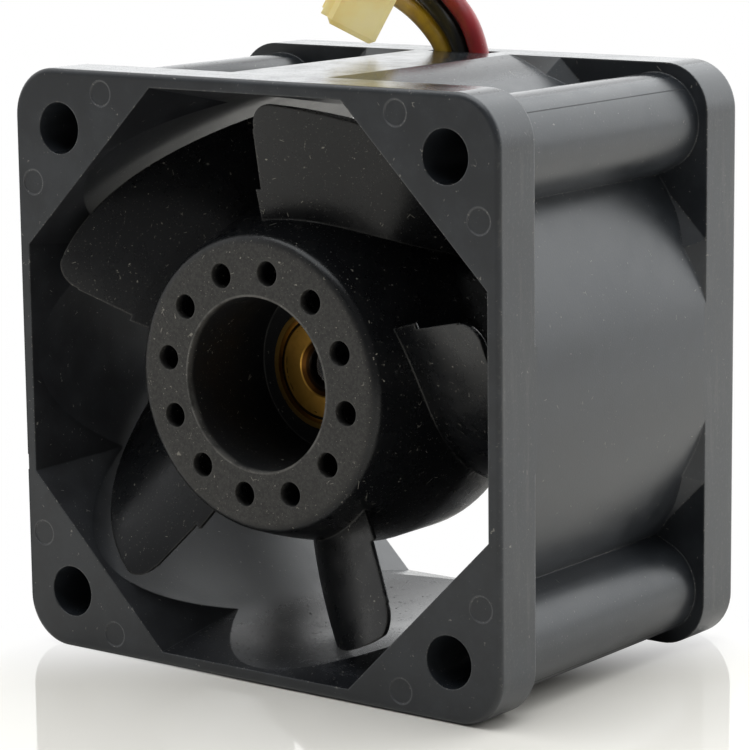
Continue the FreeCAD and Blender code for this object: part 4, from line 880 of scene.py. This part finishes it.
@dataclass
class Leads:
    """Three free leads from the rear rim into the plug."""

    radius: float = 0.68
    pitch: float = 1.42
    middle: float = 0.05
    depth: float = 10.89
    exit_height: float = 35.2
    sides: int = 8
    fineness: int = 16
    lengths: tuple[float, ...] = (0.0569, 0.0530, 0.0492)
    route: tuple[tuple[float, float, float], ...] = (
        (-3.35, 0.41, 3.5), (-7.85, 1.71, 5.35), (-13.65, 2.41, 7.1), (-16.3, 2.01, 12.2),
        (-14.15, 1.01, 17.3), (-8.95, -0.29, 19.4), (-3.65, -1.59, 17.2),
    )
    twist: tuple[float, ...] = (0, 0, 0, 4, 10, 17, 25, 33, 41, 49, 56)

    def corners(self, index: int, plug: Plug) -> list[Vector]:
        """Route points of one lead.

        Args:
            index: Place in the row, from 0.
            plug: The plug that the leads enter.

        Returns:
            Points in metres.
        """
        start = Vector((self.middle, self.depth, self.exit_height)) * MM
        above = Vector((start.x, start.y, 2 * AXIS_HEIGHT * MM))
        row_end, _, upward = plug.axes()
        top = plug.top()
        entry = plug.entry * MM
        line = [start, above, *(above + step for step in points(*self.route))]
        line += [top + upward * 3 * entry, top - upward * entry]
        last = len(line) - 1
        made = []
        for step, corner in enumerate(line):
            behind = line[step - 1] if step else corner * 2 - line[1]
            before = (corner - behind).normalized()
            after = (line[step + 1] - corner).normalized() if step < last else before
            along = (before + after).normalized()
            side = Vector((along.z, 0.0, -along.x)).normalized()
            deep = along.cross(side)
            turn = math.radians(self.twist[step])
            row = side * math.cos(turn) + deep * math.sin(turn)
            spread = self.pitch / along.dot(after)
            if step >= last - 1:
                row, spread = row_end, plug.pitch
            made.append(corner + row * (spread * MM * (index - 1)))
        return made

    def build(self, plug: Plug) -> None:
        """Make the three cords.

        Args:
            plug: The plug that the leads enter.
        """
        finishes = {
            "yellow": Insulation("yellow_insulation", srgb(176, 146, 28), srgb(150, 120, 24)),
            "black": Insulation("black_insulation", srgb(11, 11, 12), srgb(18, 18, 18), 0.22, 0.28),
            "red": Insulation("red_insulation", srgb(150, 22, 32), srgb(124, 14, 24)),
        }
        for index, (colour, finish) in enumerate(finishes.items()):
            line = self.corners(index, plug)
            curve = bpy.data.curves.new(colour + "_cord", "CURVE")
            curve.dimensions = "3D"
            spline = curve.splines.new("NURBS")
            spline.points.add(len(line) - 1)
            for point, corner in zip(spline.points, line):
                point.co = (*corner, 1.0)
            spline.order_u = 3
            spline.use_endpoint_u = True
            spline.resolution_u = self.fineness
            curve.bevel_depth = self.radius * MM
            curve.bevel_resolution = self.sides
            curve.use_fill_caps = True
            cord = bpy.data.objects.new(colour + "_cord", curve)
            bpy.context.scene.collection.objects.link(cord)
            material = finish.build()
            curve.materials.append(material)
            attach(cord, "frame")
            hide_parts(colour + "_lead")
            colour + "_insulation"
            2 * self.radius * MM
            dress(colour + "_lead_inner", material)
            log.info("laid the %s lead", colour)


@dataclass
class FrameMoulding:
    """The moulded frame and the cap behind its rear bearing."""

    def dress(self) -> None:
        """Give the mouldings their finish."""
        moulding = BlackMoulding().build()
        dress("fan_frame", moulding)
        dress("bearing_cap", moulding)


@dataclass
class Rotor:
    """Impeller, yoke, magnet, shaft and what turns with them."""

    blades: int = 5
    tip_radius: float = 18.4
    corner_angle: float = 18.75
    corner_round: float = 1.7
    margin: float = 0.6
    cut_depth: float = 3.0
    disc_sides: int = 96
    merge_reach: float = 0.001
    smooth_angle: float = 28.0

    def _corner_cutter(self, index: int) -> bpy.types.Object:
        """Block that rounds the leading tip corner of one blade.

        Args:
            index: The blade's number, from 0.

        Returns:
            The cutter.
        """
        turn = math.radians(self.corner_angle + 360.0 / self.blades * index)
        outward = Vector((math.cos(turn), 0.0, math.sin(turn)))
        along = Vector((math.sin(turn), 0.0, -math.cos(turn)))
        axis = Vector((0.0, -FRONT + self.cut_depth / 2 - self.margin, AXIS_HEIGHT))
        reach = self.corner_round + self.margin
        centre = outward * (self.tip_radius - self.corner_round) + along * self.corner_round
        block = centre + outward * (reach / 2) - along * (reach / 2)
        bpy.ops.object.select_all(action="DESELECT")
        bpy.ops.mesh.primitive_cube_add(
            size=1.0, location=(axis + block) * MM, rotation=(0.0, -turn, 0.0))
        cutter = bpy.context.object
        cutter.scale = Vector((reach, self.cut_depth, reach)) * MM
        bpy.ops.object.transform_apply(location=True, rotation=True, scale=True)
        bpy.ops.object.select_all(action="DESELECT")
        bpy.ops.mesh.primitive_cylinder_add(
            vertices=self.disc_sides, radius=self.corner_round * MM, depth=2 * self.cut_depth * MM,
            location=(axis + centre) * MM, rotation=(math.pi / 2, 0.0, 0.0))
        disc = bpy.context.object
        bpy.ops.object.transform_apply(location=True, rotation=True, scale=True)
        self._cut(cutter, disc)
        return cutter

    @staticmethod
    def _cut(piece: bpy.types.Object, cutter: bpy.types.Object) -> None:
        """Cut one piece out of another and remove the cutter.

        Args:
            piece: Piece that is cut.
            cutter: Piece that is taken away from it.
        """
        modifier = piece.modifiers.new("cut", "BOOLEAN")
        modifier.operation = "DIFFERENCE"
        modifier.solver = "EXACT"
        modifier.object = cutter
        bpy.ops.object.select_all(action="DESELECT")
        piece.select_set(True)
        bpy.context.view_layer.objects.active = piece
        bpy.ops.object.modifier_apply(modifier=modifier.name)
        bpy.data.objects.remove(cutter, do_unlink=True)

    def _shape(self, material: bpy.types.Material) -> None:
        """Put an impeller with rounded blade corners in the plain one's place.

        Args:
            material: The impeller's material.
        """
        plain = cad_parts["impeller"]
        piece = bpy.data.objects.new("rounded_impeller", plain.data.copy())
        bpy.context.scene.collection.objects.link(piece)
        bpy.ops.object.select_all(action="DESELECT")
        piece.select_set(True)
        bpy.context.view_layer.objects.active = piece
        bpy.ops.mesh.customdata_custom_splitnormals_clear()
        bpy.ops.object.mode_set(mode="EDIT")
        bpy.ops.mesh.select_all(action="SELECT")
        bpy.ops.mesh.remove_doubles(threshold=self.merge_reach * MM)
        bpy.ops.object.mode_set(mode="OBJECT")
        for index in range(self.blades):
            self._cut(piece, self._corner_cutter(index))
        bpy.ops.object.shade_smooth_by_angle(angle=math.radians(self.smooth_angle))
        piece.data.materials.clear()
        piece.data.materials.append(material)
        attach(piece, "rotor")
        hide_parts("impeller")
        log.info("rounded the blade corners: %d faces", len(piece.data.polygons))

    def dress(self) -> None:
        """Give each piece its finish."""
        moulding = RotorMoulding().build()
        dress("impeller", moulding)
        self._shape(moulding)
        dress("hub_bush", TurnedBush().build())
        brass = Metal("turned_brass", srgb(176, 134, 62), srgb(110, 76, 32), 0.26)
        dress("bearing_tube", brass.build())
        ground = Metal("ground_steel", srgb(190, 190, 192), srgb(150, 148, 146), 0.18).build()
        dress("shaft", ground)
        for end in ("front", "rear"):
            for part in ("inner_race", "outer_race", "balls", "shields"):
                dress(f"{end}_bearing_{part}", ground)
        spring = Metal("spring_steel", srgb(140, 140, 142), srgb(100, 98, 96), 0.3).build()
        for name in ("shaft_washer", "retaining_clip", "preload_spring"):
            dress(name, spring)
        yoke = Metal("plated_yoke", srgb(176, 176, 172), srgb(140, 138, 130), 0.34)
        dress("rotor_yoke", yoke.build())
        magnet = Moulded("bonded_magnet", srgb(62, 60, 58), srgb(48, 46, 45), 0.6)
        dress("ring_magnet", magnet.build())


@dataclass
class Motor:
    """Stator, circuit board and the small parts on it."""

    def dress(self) -> None:
        """Give each piece its finish."""
        core = Metal("core_sheets", srgb(120, 120, 124), srgb(84, 80, 78), 0.4)
        dress("stator_core", core.build())
        white = Moulded("white_insulator", srgb(226, 224, 214), srgb(208, 204, 190), 0.45).build()
        dress("front_insulator", white)
        dress("rear_insulator", white)
        copper = Metal("enamelled_copper", srgb(200, 110, 56), srgb(150, 70, 30), 0.3, 9000.0, 0.85)
        dress("stator_windings", copper.build())
        tinned = TINNED.build()
        dress("winding_pins", tinned)
        dress("solder_joints", tinned)
        board = Moulded("board_mask", srgb(34, 92, 52), srgb(26, 74, 42), 0.3)
        dress("circuit_board", board.build())
        chip = Moulded("chip_body", srgb(36, 36, 38), srgb(46, 46, 48), 0.5).build()
        dress("driver_chip", chip)
        dress("hall_sensor", chip)
        ceramic = Moulded("ceramic_body", srgb(168, 138, 102), srgb(146, 116, 82), 0.35)
        dress("chip_capacitors", ceramic.build())


@dataclass(frozen=True)
class Lamp:
    """Large square soft lamp that points at the middle of the fan."""

    name: str
    place: tuple[float, float, float]
    size: float
    power: float

    def build(self, tint: tuple[float, float, float]) -> None:
        """Hang the lamp.

        Args:
            tint: Colour of the light.
        """
        data = bpy.data.lights.new(self.name, "AREA")
        data.shape = "SQUARE"
        data.size = self.size
        data.energy = self.power
        data.color = tint
        lamp = bpy.data.objects.new(self.name, data)
        lamp.location = self.place
        lamp.visible_camera = False
        aim = Vector((0.0, 0.0, AXIS_HEIGHT * MM)) - Vector(self.place)
        lamp.rotation_euler = aim.to_track_quat("-Z", "Y").to_euler()
        bpy.context.scene.collection.objects.link(lamp)
        log.info("hung %s", self.name)


@dataclass
class Studio:
    """Floor, lights, world and camera; the camera's place and the bands are in millimetres."""

    camera_place: tuple[float, float, float] = (130.218, -171.628, 58.428)
    yaw: float = 37.235
    pitch: float = -10.4955
    roll: float = -0.669
    picture: float = 750.0
    focal: float = 3194.26
    middle_shift: float = 1.6
    sensor: float = 36.0
    table_size: float = 4.0
    table_colour: Colour = srgb(247, 242, 234)
    world_turn: tuple[float, float] = (-0.35, 0.40)
    soft_front: float = 0.17
    soft_gain: float = 0.40
    mirror_front: float = 0.04
    mirror_gain: float = 0.40
    fade_behind: Band = (-12.0, 4.0)
    fade_around: Band = (90.0, 200.0)
    lamp_tint: tuple[float, float, float] = (0.94, 0.98, 1.0)
    lamps: tuple[Lamp, ...] = (
        Lamp("back_softbox", (0.15, 0.65, 0.42), 0.9, 4.6),
        Lamp("top_softbox", (-0.05, -0.05, 0.70), 0.7, 4.6),
        Lamp("right_softbox", (0.55, 0.20, 0.30), 0.5, 0.7),
        Lamp("low_softbox", (-0.42, 0.55, 0.14), 0.4, 0.22),
        Lamp("left_softbox", (-0.50, -0.35, 0.40), 0.5, 0.25),
    )

    def build(self) -> None:
        """Make everything around the object."""
        self._camera()
        self._world()
        self._floor()
        for lamp in self.lamps:
            lamp.build(self.lamp_tint)
        bpy.context.scene.view_settings.view_transform = "Standard"

    def _camera(self) -> None:
        """Put the camera where the photograph was taken from."""
        yaw, pitch, roll = (math.radians(angle) for angle in (self.yaw, self.pitch, self.roll))
        flat = Vector((-math.sin(yaw), math.cos(yaw), 0.0))
        ahead = flat * math.cos(pitch) + Vector((0.0, 0.0, math.sin(pitch)))
        level = Vector((math.cos(yaw), math.sin(yaw), 0.0))
        upright = level.cross(ahead)
        right = level * math.cos(roll) + upright * math.sin(roll)
        upward = upright * math.cos(roll) - level * math.sin(roll)
        turn = Matrix((right, upward, -ahead)).transposed()
        data = bpy.data.cameras.new("camera")
        data.sensor_width = self.sensor
        data.lens = self.sensor * self.focal / self.picture
        data.shift_y = self.middle_shift / self.picture
        data.clip_start = 0.01
        data.clip_end = 20.0
        camera = bpy.data.objects.new("camera", data)
        camera.matrix_world = Matrix.Translation(Vector(self.camera_place) * MM) @ turn.to_4x4()
        bpy.context.scene.collection.objects.link(camera)
        bpy.context.scene.camera = camera
        log.info("camera placed")

    def _away(self, across: Wire, depth: Wire) -> Wire:
        """Reach along the camera's level heading.

        Args:
            across: Place or direction to the right.
            depth: Place or direction to the back.

        Returns:
            The reach, larger further from the camera.
        """
        yaw = math.radians(self.yaw)
        return depth * math.cos(yaw) - across * math.sin(yaw)

    def _world(self) -> None:
        """White to the camera, soft light for the rest, brighter behind and in reflections."""
        world = bpy.data.worlds.new("studio")
        world.use_nodes = True
        bpy.context.scene.world = world
        tree = Tree(world.node_tree)
        seen = tree.node("ShaderNodeLightPath", {}, {}, "Is Camera Ray")
        path = seen.socket.node
        mirrored = Wire(tree, path.outputs["Is Glossy Ray"])
        through = Wire(tree, path.outputs["Is Transmission Ray"])
        across, depth, _ = tree.split(tree.node("ShaderNodeTexCoord", {}, {}, "Generated"))
        behind = self._away(across, depth).step(*self.world_turn)
        soft = self.soft_front + behind * self.soft_gain
        bright = mirrored.largest(through) * (self.mirror_front + behind * self.mirror_gain)
        strength = seen.largest(soft + bright)
        light = tree.node("ShaderNodeBackground", {}, {"Color": WHITE, "Strength": strength})
        out = tree.nodes.nodes.new("ShaderNodeOutputWorld")
        tree.nodes.links.new(light.socket, out.inputs["Surface"])

    def _floor(self) -> None:
        """Pale, slightly glossy table that fades into white behind and around the fan."""
        bpy.ops.object.select_all(action="DESELECT")
        bpy.ops.mesh.primitive_plane_add(size=self.table_size, location=(0.0, 0.0, 0.0))
        floor = bpy.context.object
        floor.name = "table"
        material, tree = new_material("table")
        across, depth, _ = tree.split(tree.place())
        spread = (across * across + depth * depth) ** 0.5
        behind = self._away(across, depth).over(self.fade_behind)
        fade = behind.largest(spread.over(self.fade_around))
        seen = tree.node("ShaderNodeLightPath", {}, {}, "Is Camera Ray")
        surface = tree.node("ShaderNodeBsdfPrincipled", {}, {
            "Base Color": self.table_colour, "Roughness": 0.045, "Specular IOR Level": 0.4})
        white = tree.node("ShaderNodeEmission", {}, {"Color": WHITE, "Strength": 1.0})
        mixed = tree.node("ShaderNodeMixShader", {}, {0: fade * seen, 1: surface, 2: white})
        tree.node_out(mixed)
        floor.data.materials.append(material)


def main() -> None:
    """Build the studio and dress the object."""
    Studio().build()
    plug = Plug()
    Leads().build(plug)
    plug.dress()
    FrameMoulding().dress()
    Rotor().dress()
    Motor().dress()


if __name__ == "__main__":
    main()
